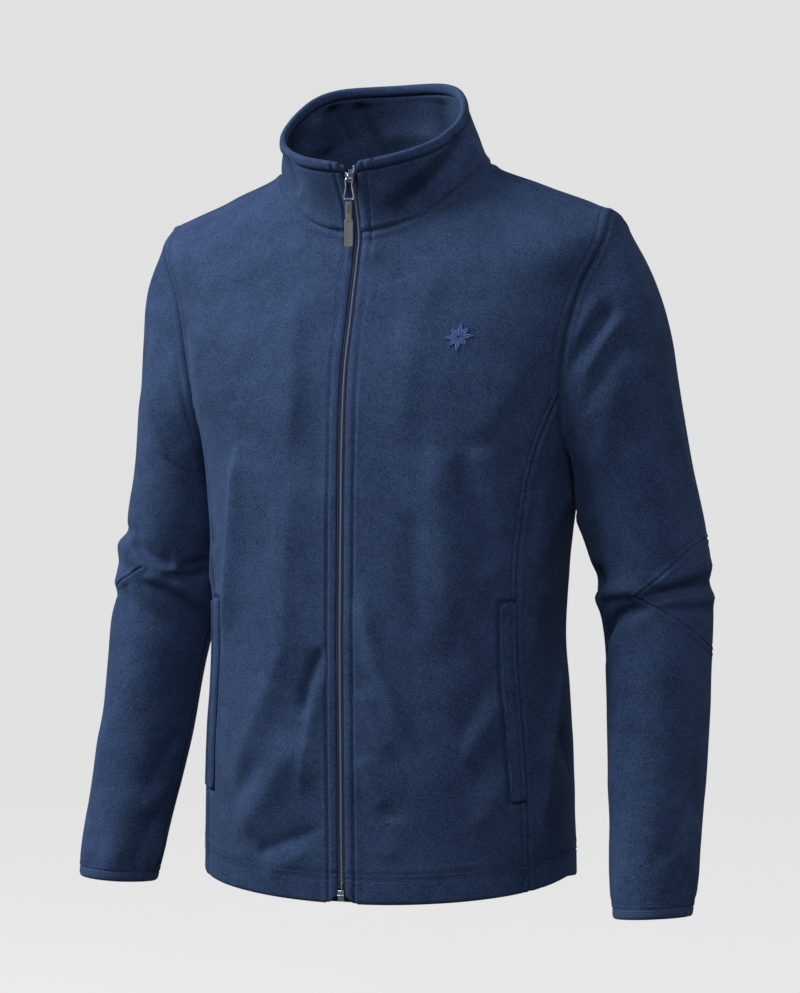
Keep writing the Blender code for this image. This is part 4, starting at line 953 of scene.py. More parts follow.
fleece = fleeceFinish("jacketFleece", fleeceLook)
binding = wovenFinish("cuffBinding", bindingLook)
tapeCloth = wovenFinish("zipTapeCloth", tapeLook, ribs=False)
nylon = nylonFinish("zipNylon")
metal = metalFinish("platedMetal")
taupe = taupeFinish("mouldedTaupe", (0.054, 0.059, 0.067, 1), (0.102, 0.108, 0.120, 1))
# The tab's window: painted shade, darker than the moulding, standing in for the shade of a sunk window.
paintedWindowShade = taupeFinish("paintedShadeUmber", (0.032, 0.031, 0.033, 1), (0.058, 0.055, 0.058, 1))
navyThread = threadFinish("navyThread", (0.024, 0.041, 0.092, 1), 0.60)
# The zip's sewing thread is paler than the cloth's thread: a painted highlight that stands for a row of
# glints beside the coil.
zipThread = threadFinish("zipThread", (0.070, 0.095, 0.180, 1), 0.60)
motifThread = threadFinish("periwinkleThread", (0.088, 0.150, 0.370, 1), 0.26)
print("finishes ready")


# ---- the body's panels
upLevels = np.concatenate([
    [0.0, wall["hemHeight"], wall["hemHeight"] + wall["hemStep"], 0.057],
    np.linspace(0.088, 0.272, 7),
    np.linspace(0.272, form["holeUp"] - 0.5 * form["holeHalfHeight"], 7)[1:],
])
levelCount = len(upLevels)
holeRows = 8
neckColumn = 0.49  # share of a panel's width that meets the neck
turnPower = 1.5


def panelRows(parts):
    return stops(*[(row, row + 1, part) for row, part in enumerate(parts)])


def turnedUp(degrees, up, rows, level, topDegrees, topUp):
    # Above a level row, the rows turn to meet the top edge, as part^1.5 of the way to it.
    lift = np.clip((rows - level) / (rows[-1] - level), 0, 1)[:, None] ** turnPower
    return degrees + lift * (topDegrees - degrees[-1]), up + lift * (topUp - up[-1])


def panelPlaces(rows, columns, middleDegrees, seam, holeFrom):
    # (degrees, up) between the middle edge and the side seam, up to the neck and the shoulder.
    upAt = np.interp(rows, np.arange(levelCount), upLevels)
    rise = np.clip((rows - levelCount + 1) / holeRows, 0, 1)
    holeDegrees, holeUp = armhole(holeFrom + (90.0 - holeFrom) * rise)
    onHole = rows > levelCount - 1
    sideDegrees = np.where(onHole, holeDegrees, seamDegrees(seam, holeFrom, upAt))
    sideUp = np.where(onHole, holeUp, upAt)
    middleUp = upAt + (form["neckUp"] - upLevels[-1]) * rise
    middle = middleDegrees(middleUp)
    neck = np.clip(columns / neckColumn, 0, 1)
    slope = np.clip((columns - neckColumn) / (1 - neckColumn), 0, 1)
    topDegrees = middle[-1] + (form["shoulderDegrees"] - middle[-1]) * neck
    topUp = form["neckUp"] + (sideUp[-1] - form["neckUp"]) * slope
    degrees = middle[:, None] * (1 - columns) + sideDegrees[:, None] * columns
    up = middleUp[:, None] * (1 - columns) + sideUp[:, None] * columns
    return turnedUp(degrees, up, rows, levelCount - 6, topDegrees, topUp)


def holeEdge(side):
    return holes[side].line, "armhole"


def wallAt(up):
    # Two layers in the hem, thinned to one just above it.
    part = easeIn((up - wall["hemHeight"]) / wall["hemStep"])
    return wall["hem"] + (wall["fleece"] - wall["hem"]) * part


def finishPiece(piece, nodes, body="jacket"):
    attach(piece, body)
    if nodes:
        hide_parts(*nodes)
    pieceNames.append(piece.name)


def clothPlaces(angle, along, radius=0.16):
    # The piece's own map, in metres: the turn times a radius, and the way along.
    return np.stack([np.radians(angle) * radius, along], axis=-1)


def addSheet(node, cut, faces, uv, *neighbours, quads=None, look=("navy_fleece", fleece), rims=2):
    # One sewn piece in place of its solid. The flat cut and the neighbouring pieces passed in are not
    # used.
    slot, material = look
    quads = gridQuads(numbered(uv.shape)) if quads is None else quads
    piece = cloth(f"{node}_cloth", *faces, quads, material, uv, rims)
    finishPiece(piece, [node])


frontCut = {
    "rows": [12, 2, 12, 14] + [14] * 12 + [13] * 8,
    "columns": ((0.0, 0.075, 12), (0.075, neckColumn, 34), (neckColumn, 0.90, 34), (0.90, 1.0, 18)),
    "corner": (0.0055, 0.008, 0.030),  # the hem's corner at the zip: its lift, width and height
    "oneLayer": 0.012,  # from the zip's edge
    "flat": (0.225, 0.720),
    "area": 0.1300,
}
pocket = {
    "columns": (0.872, 0.985),
    "up": (0.088, 0.272),
    "raise": (0.0023, 0.35),  # and the share that it rises or falls towards the side seam
    "corner": 0.006,
    "cornerRound": (1.6, 0.6, 12),  # its slope and start across the welt, and its power along it
    "edge": (0.018, 0.22),  # the ends' length that counts as edge, and the share that rises
    "stitch": (0.0005, 0.48, 0.09),  # depth, place and width
    "proud": 0.0002,
    "under": 0.0010,
    "flat": (0.020, 0.186),
}


def frontPlaces(side, rows, columns):
    middle = lambda up: zipEdge(side, up)
    degrees, up = panelPlaces(rows, columns, middle, frontSeam, form["holeFrontSeam"])
    return degrees * signs[side], up


def pocketPlaces(side, count, columns):
    # The front's last row goes with the pocket's, because the rows turn up towards it.
    ends = np.interp(pocket["up"], upLevels, np.arange(levelCount))
    rows = np.append(np.linspace(*ends, count), levelCount - 1 + holeRows)
    degrees, up = frontPlaces(side, rows, columns)
    return degrees[:-1], up[:-1]


def pocketOutline(side):
    # The pocket's edge, all round.
    places = np.stack(pocketPlaces(side, 90, np.linspace(*pocket["columns"], 12)), axis=-1)
    path = np.concatenate([places[:, 0], places[-1], places[::-1, -1], places[0, ::-1]])
    return lineOn("body", *path.T)


def frontSeamsFor(side):
    return [
        (lineOn("body", *frontSeams[side]), "topstitched"),
        holeEdge(side),
        (lineOn("body", *shoulderPath(side)), "topstitched"),
        (neckLine, "neck"),
        (zipLines[side], "placket"),
        (hemLine, "hem"),
        (pocketOutline(side), "pocket"),
    ]


def makeFront(side):
    degrees, up = frontPlaces(side, panelRows(frontCut["rows"]), stops(*frontCut["columns"]))
    fromZip = np.abs(bodyPoint(degrees, up)[..., 0]) - form["zipEdge"][side]
    lift, width, height = frontCut["corner"]
    corner = lift * (1 - easeIn(fromZip / width)) * np.clip(1 - up / height, 0, 1)
    thick = np.where(fromZip < frontCut["oneLayer"], wall["fleece"], wallAt(up))
    up = up + corner
    faces = layers("body", degrees, up, frontSeamsFor(side), thick)
    addSheet(f"front_{side}", frontCut, faces, clothPlaces(degrees, up), "back_cloth")


def makeWelt(side):
    # The pocket's welt lies on the front's own face, raised, with rounded corners.
    low, high = pocket["up"]
    degrees, up = pocketPlaces(side, 120, stops((*pocket["columns"], 22)))
    v = np.linspace(-1, 1, len(up))[:, None]
    u = np.linspace(-1, 1, up.shape[1])[None, :]
    slope, start, power = pocket["cornerRound"]
    bend = 1 - np.sqrt(np.clip(1 - np.clip(np.abs(u) * slope - start, 0, 1) ** 2, 0, 1))
    up = up - np.sign(v) * pocket["corner"] * bend * np.abs(v) ** power
    base, normal = face("body", degrees, up, frontSeamsFor(side)[:-1])
    length, share = pocket["edge"]
    edge = np.minimum(1 - np.abs(u), (1 - np.abs(v)) * (high - low) / length)
    rise, lean = pocket["raise"]
    dip, place, width = pocket["stitch"]
    crown = rise * (1 + lean * u) * np.sqrt(np.clip(edge / share, 0, 1)) + pocket["proud"]
    crown = crown - dip * bell(edge - place, width)
    faces = base + crown[..., None] * normal, base - pocket["under"] * normal
    addSheet(f"pocket_welt_{side}", pocket, faces, clothPlaces(degrees, up), f"front_{side}_cloth")


backCut = {
    "rows": [10, 2, 9, 9] + [8] * 12 + [10] * 8,
    "columns": ((0.0, neckColumn, 26), (neckColumn, 0.92, 24), (0.92, 1.0, 14)),
    "flat": (0.565, 0.715),
    "area": 0.2950,
}


def backSeamsFor():
    seams = [(hemLine, "hem")]
    for side in signs:
        seams += [(lineOn("body", *backSeams[side]), "topstitched"), holeEdge(side)]
    return seams


def makeBack():
    rows = panelRows(backCut["rows"])
    middle = lambda up: np.full_like(up, 180.0)
    columns = stops(*backCut["columns"])
    degrees, up = panelPlaces(rows, columns, middle, backSeam, form["holeBackSeam"])
    degrees = np.concatenate([degrees[:, ::-1], 360 - degrees[:, 1:]], axis=1)
    up = np.concatenate([up[:, ::-1], up[:, 1:]], axis=1)
    seams = backSeamsFor() + [(neckLine, "neck")]
    seams += [(lineOn("body", *shoulderPath(side)), "joined") for side in signs]
    faces = layers("body", degrees, up, seams, wallAt(up))
    addSheet("back", backCut, faces, clothPlaces(degrees, up))


sideCut = {
    "rows": [10, 2, 9, 9] + [10] * 12,
    "columns": ((0.0, 0.10, 10), (0.10, 0.90, 34), (0.90, 1.0, 10)),
    "flat": (0.125, 0.450),
    "area": 0.0530,
}


def makeSidePanel(side):
    rows = panelRows(sideCut["rows"])
    s = stops(*sideCut["columns"])
    upAt = np.interp(rows, np.arange(levelCount), upLevels)
    under = form["holeBackSeam"] - 360 - form["holeFrontSeam"]
    top = armhole(form["holeFrontSeam"] + under * s)
    front = seamDegrees(frontSeam, form["holeFrontSeam"], upAt)[:, None]
    back = seamDegrees(backSeam, form["holeBackSeam"], upAt)[:, None]
    level = upAt[:, None] + 0 * s
    degrees, up = turnedUp(front * (1 - s) + back * s, level, rows, levelCount // 2, *top)
    degrees = degrees * signs[side]
    seams = [(lineOn("body", *path[side]), "joined") for path in (frontSeams, backSeams)]
    faces = layers("body", degrees, up, seams + [holeEdge(side), (hemLine, "hem")], wallAt(up))
    uv = clothPlaces(degrees, up)
    addSheet(f"side_panel_{side}", sideCut, faces, uv, f"front_{side}_cloth", "back_cloth")


for side in signs:
    makeFront(side)
    makeSidePanel(side)
    makeWelt(side)
makeBack()
print("fronts, back, side panels and welts made")

# ---- collar
collarCut = {
    "rows": ((0.0, 0.12, 5), (0.12, 0.76, 20), (0.76, 1.0, 16)),
    "columns": ((0.0, 0.03, 16), (0.03, 0.5, 106), (0.5, 0.97, 106), (0.97, 1.0, 16)),
    "corner": {"left": 0.0058, "right": 0.0075},
    "slope": {"left": 0.0006, "right": 0.0016},
    "slopeWidth": 0.020,
    "flat": (0.595, 0.080),
    "area": 0.0410,
}
collarSeams = [(brimLine, "brim"), (zipLines["left"], "placket"), (zipLines["right"], "placket")]


def makeCollar():
    # The layer outside and the one inside both swell towards the brim, on either side of the wall.
    rows = stops(*collarCut["rows"])[:, None]
    t = stops(*collarCut["columns"])
    top = form["collarTopUp"] - wall["collar"] / 2
    up = form["neckUp"] + (top - form["neckUp"]) * rows + 0 * t
    left = zipEdge("left", up)
    degrees = left + (360 - left - zipEdge("right", up)) * t
    x = bodyPoint(degrees, up)[..., 0]
    front = np.cos(np.radians(degrees)) > 0
    drop = np.zeros_like(up)
    for side, sign in signs.items():
        away = sign * x - zipEdgeX(side, up)
        corner = collarCut["corner"][side]
        bend = np.sqrt(np.clip(corner**2 - np.clip(corner - away, 0, corner) ** 2, 0, None))
        lean = collarCut["slope"][side] * (1 - easeIn(away / collarCut["slopeWidth"]))
        drop += (corner - bend + lean) * front * (sign * x > 0)
    up = up - drop * rows ** 4
    outer, normal = face("body", degrees, up, [(neckLine, "neck"), *collarSeams])
    plain = face("body", degrees, up)[0]
    brim = ((face("body", degrees, up, collarSeams[:1])[0] - plain) * normal).sum(-1)
    faces = outer, plain - (wall["collar"] + brim)[..., None] * normal
    neighbours = ("front_left_cloth", "front_right_cloth", "back_cloth")
    addSheet("collar", collarCut, faces, clothPlaces(degrees, up), *neighbours, rims=7)


makeCollar()
print("collar made")

# ---- sleeves, elbow panels and cuffs
sleeveCut = {
    "columns": 136,
    "cap": (62, 1.25),  # rows of each stretch, and how they crowd
    "upper": (24, 1.6),
    "middle": (23, 1.6),
    "lower": (62, 1.15),
    "middleEnds": 0.270,
    "underSeam": -96.0,
    "radius": 0.055,
    "flat": (0.510, 0.650),
    "area": 0.1680,
}


def sleeveSeams(side):
    under = np.linspace(0.0, cuffSeam(side, sleeveCut["underSeam"]), 150)
    return [
        holeEdge(side),
        (lineOn(side, *elbowPath(side, -1)), "strip"),
        (lineOn(side, *elbowPath(side, 1)), "strip"),
        (lineOn(side, *cuffPath(side)), "cuff"),
        (lineOn(side, sleeveCut["underSeam"], under), "joined"),
    ]


def sleeveRows(side, angle):
    # Rows from the armhole to the cuff in four stretches, with the elbow panel's lens left out.
    half = elbowHalf(angle)
    above = form["elbowAlong"][side] - half
    below = form["elbowAlong"][side] + half
    cap = form["capAlong"]
    end = sleeveCut["middleEnds"]
    count, power = sleeveCut["cap"]
    rows = [np.linspace(0, 1, count, endpoint=False)[:, None] ** power * (cap + 0 * half)]
    count, power = sleeveCut["upper"]
    rows.append(cap + (1 - (1 - np.linspace(0, 1, count)[:, None]) ** power) * (above - cap))
    count, power = sleeveCut["middle"]
    rows.append(below + np.linspace(0, 1, count)[:, None] ** power * (end - below))
    count, power = sleeveCut["lower"]
    share = 1 - (1 - np.linspace(0, 1, count + 1)[1:, None]) ** power
    rows.append(end + share * (cuffSeam(side, angle) - end))
    return np.concatenate(rows), len(rows[0]) + len(rows[1]) - 1, half < 1e-9


def makeSleeve(side):
    angle = np.arange(sleeveCut["columns"]) * 360.0 / sleeveCut["columns"]
    along, split, closed = sleeveRows(side, angle)
    faces = layers(side, angle, along, sleeveSeams(side), wall["fleece"])
    uv = clothPlaces(angle + 0 * along, along, sleeveCut["radius"])
    neighbours = (f"front_{side}_cloth", f"side_panel_{side}_cloth", "back_cloth")
    quads = sleeveCells(along.shape, split, closed)
    addSheet(f"sleeve_{side}", sleeveCut, faces, uv, *neighbours, quads=quads)


elbowCut = {"columns": 100, "rows": 34, "crowd": 1.5, "flat": (0.215, 0.110), "area": 0.0155}


def makeElbow(side):
    angle = np.linspace(0, form["elbowDegrees"], elbowCut["columns"])
    t = np.linspace(-1, 1, elbowCut["rows"])[:, None]
    t = np.sign(t) * (1 - (1 - np.abs(t)) ** elbowCut["crowd"])
    along = form["elbowAlong"][side] + t * elbowHalf(angle)
    faces = layers(side, angle, along, sleeveSeams(side)[1:3], wall["fleece"])
    ids = numbered(along.shape)
    ids[:, 0] = ids[0, 0]
    ids[:, -1] = ids[0, -1]
    uv = clothPlaces(angle + 0 * along, along, sleeveCut["radius"])
    addSheet(f"elbow_{side}", elbowCut, faces, uv, f"sleeve_{side}_cloth", quads=gridQuads(ids))


cuffCut = {
    "raise": (0.0006, 0.2),  # and the share of its height over which it rises
    "stitch": (0.0005, 0.24, 0.07),  # depth, place and width
    "rows": 12,
    "columns": 160,
    "radius": 0.035,
    "flat": (0.250, 0.011),
    "area": 0.0026,
}


def makeCuff(side):
    t = np.linspace(0, 1, cuffCut["rows"])[:, None]
    angle = np.arange(cuffCut["columns"]) * 360.0 / cuffCut["columns"]
    along = cuffSeam(side, angle) + t * form["cuffHeight"]
    base, normal = face(side, angle, along)
    dip, place, width = cuffCut["stitch"]
    rise, share = cuffCut["raise"]
    proud = rise * np.sqrt(np.clip(np.minimum(t, 1 - t) / share, 0, 1))
    proud = (proud - dip * bell(t - place, width))[..., None]
    faces = base + proud * normal, base - (wall["fleece"] + proud) * normal
    uv = clothPlaces(angle + 0 * along, along, cuffCut["radius"])
    quads = gridQuads(wrapped(numbered(along.shape)))
    look = ("navy_binding", binding)
    addSheet(f"cuff_{side}", cuffCut, faces, uv, f"sleeve_{side}_cloth", quads=quads, look=look, rims=4)


for side in signs:
    makeSleeve(side)
    makeElbow(side)
    makeCuff(side)
print("sleeves, elbow panels and cuffs made")


# ---- stitches
stitch = {
    "pitch": 0.0032,
    "length": 0.0025,
    "radius": 0.00027,
    "lift": 0.00022,
    "arch": 0.00035,
    "fromZip": 0.0082,
    "fromSeam": 0.0062,
    "fromHole": 0.0092,
    "fromBrim": 0.0096,
    "fromElbow": 0.0064,
    "fromCuff": 0.0058,
    "hemUps": (0.0215, 0.0258),
    "hemFromZip": 0.012,
    "zipEnds": (0.006, 0.002),  # from the hem and from the neck
    "shoulderUps": (0.652, 0.752),
    "holeFront": (-28, 88),  # degrees round the armhole
    "holeBack": (92, 208),
    "brimFromZip": 0.0165,
    "collarEnds": (0.003, 0.004),
    "inside": 0.0002,
}


def arcOf(line):
    # The length along a line up to each of its points.
    return np.concatenate([[0], np.cumsum(np.linalg.norm(np.diff(line, axis=0), axis=1))])


def repeated(quads, copies, size):
    return (np.arange(copies)[:, None, None] * size + quads).reshape(-1, 4)


def metric(surface, across, along):
    # The two directions of the surface, in metres a degree and metres a unit along.
    point = surfaces[surface][0]
    side = point(across + 0.5, along) - point(across - 0.5, along)
    rise = (point(across, along + 0.001) - point(across, np.maximum(along - 0.001, 0))) / 0.002
    return side, rise


def offsetPath(surface, path, distance):
    # The same path moved sideways over the cloth: solved from the surface's two directions.
    across, along = path
    end = form["collarTopUp"] if surface == "body" else form["sleeveEnd"]
    side, rise = metric(surface, across, np.clip(along, 0.001, end - 0.001))
    point, normal = surfaces[surface]
    tangent = unit(np.gradient(point(across, along), axis=0))
    move = distance * unit(np.cross(normal(across, along), tangent))
    a = (side * side).sum(1)
    b = (side * rise).sum(1)
    c = (rise * rise).sum(1)
    p = (side * move).sum(1)
    q = (rise * move).sum(1)
    det = a * c - b * b
    return across + (c * p - b * q) / det, along + (a * q - b * p) / det


def threads(starts, ends, normals, radius, arch, rings=3, sides=4):
    # A short thread from each start to its end: a round section carried along a low arch, at its
    # ends 0.45 as thick as in the middle.
    t = np.linspace(0, 1, rings)
    way = ends - starts
    up = unit(normals)[:, None]
    across = unit(np.cross(way, up[:, 0]))[:, None]
    middle = starts[:, None] + way[:, None] * t[:, None] + (arch * 4 * t * (1 - t))[:, None] * up
    taper = radius * (0.45 + 0.55 * np.sin(math.pi * t) ** 0.5)
    points = sections(middle, across, up, taper, sides)
    quads = gridQuads(wrapped(numbered((rings, sides))))[:, ::-1]
    cap = np.arange(sides)
    quads = np.concatenate([quads, [cap], [cap[::-1] + (rings - 1) * sides]])
    return points.reshape(-1, 3), repeated(quads, len(starts), rings * sides)


def runStitches(surface, path, seams, lift):
    # Even stitches along a path over the finished cloth.
    outer, normal = face(surface, *path, seams)
    arc = arcOf(outer)
    at = lambda place, values: np.stack([np.interp(place, arc, row) for row in values.T], axis=1)
    first = np.arange(max(1, int(arc[-1] / stitch["pitch"]))) * stitch["pitch"]
    last = first + stitch["length"]
    starts = at(first, outer) + lift * at(first, normal)
    ends = at(last, outer) + lift * at(last, normal)
    return threads(starts, ends, at(first, normal), stitch["radius"], stitch["arch"])


def makeStitches(name, surface, paths, seams, inside=()):
    runs = [(path, stitch["lift"]) for path in paths] + list(inside)
    parts = [runStitches(surface, path, seams, lift) for path, lift in runs]
    finishPiece(makeObject(name, *joinParts(parts), navyThread), [])


def levelRow(start, end, up, count):
    return np.linspace(start, end, count), np.full(count, up)


def zipRow(side, up):
    return signs[side] * degreesAtX(zipEdgeX(side, up) + stitch["fromZip"], up), up


def holeRow(side, start, end):
    degrees, up = offsetPath("body", armhole(np.linspace(start, end, 120)), stitch["fromHole"])
    return signs[side] * degrees, up


def stitchFront(side):
    sign = signs[side]
    beside = stitch["fromSeam"] * sign
    bottom, top = stitch["zipEnds"]
    degrees, up = frontSeams[side]
    paths = [
        zipRow(side, np.linspace(bottom, form["neckUp"] - top, 420)),
        offsetPath("body", (degrees[1:], up[1:]), beside),
        holeRow(side, *stitch["holeFront"]),
    ]
    low, high = stitch["shoulderUps"]
    up = shoulderPath(side)[1]
    shoulder = offsetPath("body", shoulderPath(side), -beside)
    paths.append([places[(up > low) & (up < high)] for places in shoulder])
    for height in stitch["hemUps"]:
        start = sign * degreesAtX(stitch["hemFromZip"], height)
        end = sign * (seamDegrees(frontSeam, form["holeFrontSeam"], height) - 1.0)
        paths.append(levelRow(start, end, height, 160))
    makeStitches(f"stitches_front_{side}", "body", paths, frontSeamsFor(side))


def stitchBack():
    paths = []
    for side, sign in signs.items():
        paths.append(offsetPath("body", backSeams[side], -stitch["fromSeam"] * sign))
        paths.append(holeRow(side, *stitch["holeBack"]))
    for height in stitch["hemUps"]:
        edge = seamDegrees(backSeam, form["holeBackSeam"], height) + 1.0
        low = seamDegrees(frontSeam, form["holeFrontSeam"], height) + 1.0
        paths.append(levelRow(edge, 360 - edge, height, 400))
        for sign in signs.values():
            paths.append(levelRow(sign * low, sign * (edge - 2.0), height, 160))
    makeStitches("stitches_back", "body", paths, backSeamsFor())


def stitchCollar():
    top = form["collarTopUp"] - stitch["fromBrim"]
    edge = degreesAtX(stitch["brimFromZip"], top)
    row = levelRow(edge, 360 - edge, top, 420)
    above, below = stitch["collarEnds"]
    up = np.linspace(form["neckUp"] + above, top - below, 60)
    inside = [(row, -wall["collar"] - stitch["inside"])]
    paths = [row, zipRow("left", up), zipRow("right", up)]
    makeStitches("stitches_collar", "body", paths, collarSeams, inside)


def stitchSleeve(side):
    beside = stitch["fromElbow"] * signs[side]
    paths = [offsetPath(side, elbowPath(side, below), -below * beside) for below in (-1, 1)]
    paths.append(cuffPath(side, stitch["fromCuff"]))
    makeStitches(f"stitches_sleeve_{side}", side, paths, sleeveSeams(side))


for side in signs:
    stitchFront(side)
    stitchSleeve(side)
stitchBack()
stitchCollar()
print("stitches made")

# ---- motif: an eight-pointed star in satin stitch on the wearer's left front
star = {
    "place": (29.0, 0.536),
    "points": 8,
    "reach": (0.0150, 0.0123),  # of the long points and the short ones
    "waist": 0.0070,
    "halfAngle": 22.5,
    "pitch": 0.00052,
    "span": (0.08, 0.97),  # from the star's middle to a point's tip
    "shortest": 0.0004,
    "lift": 0.0003,
    "thread": 0.00034,
    "arch": 0.0006,
}


def heading(turn, reach):
    return np.array([math.sin(turn), math.cos(turn)]) * reach


def makeStar():
    # Each point is a kite of two halves. Threads run across each half, parallel to its edge.
    starts = []
    ends = []
    for point in range(star["points"]):
        turn = math.radians(360 / star["points"] * point)
        reach = star["reach"][point % 2]
        share = star["waist"] / reach
        t = np.linspace(*star["span"], int(reach / star["pitch"]))[:, None]
        for half in (-1, 1):
            tip = heading(turn, reach)
            waist = heading(turn + half * math.radians(star["halfAngle"]), star["waist"])
            outer = waist + (t - share) / (1 - share) * (tip - waist)
            starts.append(t * tip)
            ends.append(np.where(t < share, t / share * waist, outer))
    starts = np.concatenate(starts)
    ends = np.concatenate(ends)
    keep = np.linalg.norm(ends - starts, axis=1) > star["shortest"]
    place = np.array(star["place"])
    scale = [np.linalg.norm(way) for way in metric("body", place[:1], place[1:])]
    first, normals = face("body", *(place + starts[keep] / scale).T)
    last, endNormals = face("body", *(place + ends[keep] / scale).T)
    first = first + star["lift"] * normals
    last = last + star["lift"] * endNormals
    satin = threads(first, last, normals, star["thread"], star["arch"], rings=5)
    finishPiece(makeObject("embroidered_star", *satin, motifThread), [])


makeStar()
print("star made")

# ---- zip
zipLook = {
    "pitch": 0.00198,
    "from": 0.0125,
    "closedTo": 0.8165,
    "openTo": 0.8290,
    "splay": (0.0052, 0.010),
    "wire": 0.00046,
    "headHighlights": {"left": 1.0, "right": 0.15},  # how strong the painted highlight on each row's heads is
    "tapeEdge": 0.0004,
    "tapeWidth": 0.0125,
    "tapeUnder": 0.0003,
    "tapeTop": 0.0035,
    "sewing": (0.0023, -0.0004, 0.42),  # from the middle, out of the cloth, share of the pitch
    "thread": (0.00034, 0.00012),  # radius and arch
    "flat": (0.012, 0.760),
}
coilTurn = np.array([
    # mm from the middle, mm out of the cloth, share of the pitch, thickness
    (3.6, -2.1, 0.00, 0.80),
    (2.9, -0.9, 0.00, 1.00),
    (1.4, -0.6, 0.06, 0.95),
    (0.2, -0.5, 0.16, 1.20),
    (-0.3, -1.2, 0.28, 1.20),
    (0.6, -2.1, 0.46, 1.00),
    (3.0, -2.3, 0.78, 0.80),
])


def splay(up):
    # Above the slider the two rows part as a V.
    width, height = zipLook["splay"]
    return width * easeIn((up - zipLook["closedTo"]) / height) ** 1.2


def makeCoil(side):
    # Each turn of the coil: out at the head, back along the leg, in seven places. The right row
    # lies half a turn higher.
    pitch = zipLook["pitch"]
    arc = arcOf(bodyPoint(0.0, zipUps))
    low, high = np.interp([zipLook["from"], zipLook["openTo"]], zipUps, arc)
    places = np.arange(low, high, pitch) + (0.5 * pitch if side == "right" else 0)
    up = np.interp(places, arc, zipUps)
    middle = bodyPoint(0 * up, up)
    out = bodyNormal(0 * up, up)
    rise = unit(np.cross(out, [1.0, 0, 0]))
    right = np.array([signs[side], 0, 0])
    x, depth, turn, thick = coilTurn.T * np.array([[0.001], [0.001], [pitch], [zipLook["wire"]]])
    path = (
        middle[:, None]
        + (x + splay(up)[:, None])[..., None] * right
        + depth[:, None] * out[:, None]
        + turn[:, None] * rise[:, None]
    )
    tangent = unit(np.gradient(path, axis=1))
    across = unit(np.cross(tangent, rise[:, None]))
    sides = 5
    points = sections(path, across, np.cross(tangent, across), thick, sides)
    quads = gridQuads(wrapped(numbered((len(x), sides))))
    quads = repeated(quads[:, ::-1] if side == "left" else quads, len(up), len(x) * sides)
    # The map's y carries the strength of each row's painted highlight.
    uv = np.broadcast_to(np.abs(x)[:, None], points.shape[:3])
    uv = np.stack([uv, np.full_like(uv, zipLook["headHighlights"][side])], axis=-1).reshape(-1, 2)
    piece = makeObject(f"zip_coil_{side}_turns", points.reshape(-1, 3), quads, nylon, uv)
    finishPiece(piece, [f"zip_coil_{side}"])
    # The row of thread that sews the coil to the tape, its own colour lifted by a painted highlight into
    # a row of pale dots.
    away, depth, share = zipLook["sewing"]
    start = middle + (away + splay(up))[:, None] * right + depth * out
    sewing = threads(start, start + share * pitch * rise, out, *zipLook["thread"])
    finishPiece(makeObject(f"zip_sewing_{side}", *sewing, zipThread), [])


def makeTape(side):
    up = np.linspace(0.0, form["collarTopUp"] - zipLook["tapeTop"], 300)[:, None]
    x = np.linspace(zipLook["tapeEdge"], zipLook["tapeWidth"], 10) + splay(up)
    up = up + 0 * x
    degrees = signs[side] * degreesAtX(x, up)
    normal = bodyNormal(degrees, up)
    outer = bodyPoint(degrees, up) - (wall["fleece"] + zipLook["tapeUnder"]) * normal
    faces = outer, outer - wall["tape"] * normal
    uv = np.stack([x, up], axis=-1)
    neighbours = (f"front_{side}_cloth", "collar_cloth")
    look = ("navy_tape", tapeCloth)
    addSheet(f"zip_tape_{side}", zipLook, faces, uv, *neighbours, look=look, rims=1)


for side in signs:
    makeCoil(side)
    makeTape(side)
print("zip made")


# ---- hard pieces
def poledQuads(shape):
    # Cells of a closed form whose first and last rings are single points.
    ids = numbered(shape)
    ids[0] = ids[0, 0]
    ids[-1] = ids[-1, 0]
    return gridQuads(wrapped(ids))


def roundedBlock(half, radius, at=(0, 0, 0), around=24, rows=13):
    # A box with rounded edges: sign(n) x (half - radius) + radius x n, over the normals of a ball.
    turn = (np.arange(around) + 0.5) * 2 * math.pi / around
    tilt = np.linspace(-math.pi / 2, math.pi / 2, rows + 1)[:, None] + 0 * turn
    normal = np.stack([np.cos(tilt) * np.cos(turn), np.cos(tilt) * np.sin(turn), np.sin(tilt)], axis=-1)
    sign = np.sign(normal)
    sign[..., 2] = np.sign(np.where(np.abs(tilt) < 1e-9, 1, tilt))
    sign[0, :, :2] = 0
    sign[-1, :, :2] = 0
    points = sign * (np.array(half) - radius) + radius * normal + np.array(at)
    return points.reshape(-1, 3), poledQuads(tilt.shape)


def tube(path, radius, sides=10, closed=False):
    # A round section carried along a path, its ends rounded off or joined up.
    if closed:
        tangent = unit(np.roll(path, -1, axis=0) - np.roll(path, 1, axis=0))
    else:
        tangent = unit(np.gradient(path, axis=0))
    flattest = np.eye(3)[np.ptp(path, axis=0).argmin()]
    across = unit(np.cross(tangent, flattest))
    points = sections(path, across, np.cross(tangent, across), radius, sides).reshape(-1, 3)
    ids = wrapped(numbered((len(path), sides)))
    if closed:
        return points, gridQuads(np.vstack([ids, ids[:1]]))
    caps = []
    for end, step, ring in ((path[0], -tangent[0], ids[0]), (path[-1], tangent[-1], ids[-1])):
        pole = np.full(sides, len(points))
        points = np.vstack([points, end + step * radius * 0.6])
        caps.append(np.stack([ring[:-1], ring[1:], pole, pole], axis=1))
    return points, np.concatenate([gridQuads(ids), *caps])


